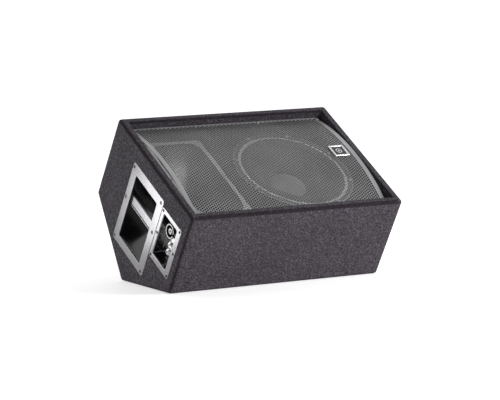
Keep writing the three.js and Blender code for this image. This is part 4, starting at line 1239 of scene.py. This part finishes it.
# ------------------------------------------------------------------ stage
class WEDGE_OT_stage(bpy.types.Operator):
    """Set the pale floor, the soft studio light and the camera"""
    bl_idname = "wedge.stage"
    bl_label = "Stage"

    def execute(self, context):
        scene = context.scene
        self.floor()
        self.room(scene)
        self.area("softbox_front", (1.9, -2.2, 2.0), 78, (1.2, 1.2))
        side = self.area("softbox_side", (-0.6, 0.335, 0.14), 1.0, (0.2, 0.2))
        side.visible_diffuse = False
        self.camera(scene)
        scene.view_settings.view_transform = "Standard"
        return {"FINISHED"}

    @staticmethod
    def room(scene):
        """A studio that is white behind the object and dark behind the camera."""
        world = bpy.data.worlds.new("studio")
        scene.world = world
        world.use_nodes = True
        tree = world.node_tree
        background = tree.nodes["Background"]
        place = tree.nodes.new("ShaderNodeTexCoord").outputs["Generated"]
        facing = tree.nodes.new("ShaderNodeVectorMath")
        facing.operation = "DOT_PRODUCT"
        facing.inputs[1].default_value = (0.25, 1.0, 0.0)
        tree.links.new(place, facing.inputs[0])
        ramp = tree.nodes.new("ShaderNodeMapRange")
        ramp.interpolation_type = "SMOOTHSTEP"
        ramp.inputs["From Min"].default_value = -0.45
        ramp.inputs["From Max"].default_value = 0.35
        ramp.inputs["To Min"].default_value = 0.03
        ramp.inputs["To Max"].default_value = 0.9
        tree.links.new(facing.outputs["Value"], ramp.inputs["Value"])
        seen = tree.nodes.new("ShaderNodeLightPath").outputs["Is Camera Ray"]
        strength = tree.nodes.new("ShaderNodeMath")
        strength.operation = "MAXIMUM"
        tree.links.new(ramp.outputs["Result"], strength.inputs[0])
        tree.links.new(seen, strength.inputs[1])
        background.inputs["Color"].default_value = (1.0, 1.0, 1.0, 1.0)
        tree.links.new(strength.outputs["Value"], background.inputs["Strength"])

    @staticmethod
    def floor():
        bm = bmesh.new()
        half = 14.0
        corners = [(-half, -half), (half, -half), (half, half), (-half, half)]
        bm.faces.new([bm.verts.new((x, y, -0.5 * MM)) for x, y in corners])
        floor = as_object(bm, "floor")
        finish = Finish("pale_floor", Metallic=0.0, Emission_Color=(1, 1, 1, 1), Emission_Strength=0.56)
        grain = finish.noise(3.0, 4.0)
        finish.colour(finish.ramp(grain, [(0.3, (0.93, 0.93, 0.93)), (0.7, (0.95, 0.95, 0.95))]))
        finish.roughness(finish.spread(grain, 0.55, 0.65))
        floor.data.materials.append(finish.material)

    @staticmethod
    def area(name, location, power, size):
        light = bpy.data.lights.new(name, "AREA")
        light.shape = "RECTANGLE"
        light.size, light.size_y = size
        light.energy = power
        lamp = bpy.data.objects.new(name, light)
        lamp.location = location
        lamp.visible_camera = False
        aim = Vector((0, 0, 0.18)) - Vector(location)
        lamp.rotation_euler = aim.to_track_quat("-Z", "Y").to_euler()
        bpy.context.scene.collection.objects.link(lamp)
        return lamp

    @staticmethod
    def camera(scene):
        azimuth, elevation, distance = math.radians(-31.62), math.radians(7.53), 6.623
        target = Vector((0, -0.0012, 0.2))
        back = Vector((math.sin(azimuth) * math.cos(elevation), -math.cos(azimuth) * math.cos(elevation),
                       math.sin(elevation)))
        data = bpy.data.cameras.new("camera")
        data.lens = 194.3
        data.sensor_width = 36
        data.shift_x, data.shift_y = 0.0015, -0.0078
        data.clip_end = 100
        camera = bpy.data.objects.new("camera", data)
        camera.location = target + back * distance
        camera.rotation_euler = (-back).to_track_quat("-Z", "Y").to_euler()
        scene.collection.objects.link(camera)
        scene.camera = camera


# ------------------------------------------------------------------ panel and running
OPERATORS = (WEDGE_OT_carpet, WEDGE_OT_handle, WEDGE_OT_input_dish, WEDGE_OT_grille, WEDGE_OT_badge,
             WEDGE_OT_woofer, WEDGE_OT_horn, WEDGE_OT_inside, WEDGE_OT_stage)


class WEDGE_PT_panel(bpy.types.Panel):
    """Steps that build the wedge, with its sizes and colours"""
    bl_label = "Stage monitor wedge"
    bl_idname = "WEDGE_PT_panel"
    bl_space_type = "VIEW_3D"
    bl_region_type = "UI"
    bl_category = "Wedge"

    def draw(self, context):
        for group in (context.scene.wedge_sizes, context.scene.wedge_colours):
            for name in group.__annotations__:
                self.layout.prop(group, name)
        for operator in OPERATORS:
            self.layout.operator(operator.bl_idname)


CLASSES = (WedgeSizes, WedgeColours, *OPERATORS, WEDGE_PT_panel)


def register():
    for cls in CLASSES:
        bpy.utils.register_class(cls)
    bpy.types.Scene.wedge_sizes = PointerProperty(type=WedgeSizes)
    bpy.types.Scene.wedge_colours = PointerProperty(type=WedgeColours)


def unregister():
    del bpy.types.Scene.wedge_colours
    del bpy.types.Scene.wedge_sizes
    for cls in reversed(CLASSES):
        bpy.utils.unregister_class(cls)


def main():
    register()
    FINISHES.update(make_finishes())
    bpy.ops.wedge.inside()
    bpy.ops.wedge.carpet()
    bpy.ops.wedge.handle()
    bpy.ops.wedge.input_dish()
    bpy.ops.wedge.grille()
    bpy.ops.wedge.badge()
    bpy.ops.wedge.woofer()
    bpy.ops.wedge.horn()
    bpy.ops.wedge.stage()


if __name__ == "__main__":
    main()
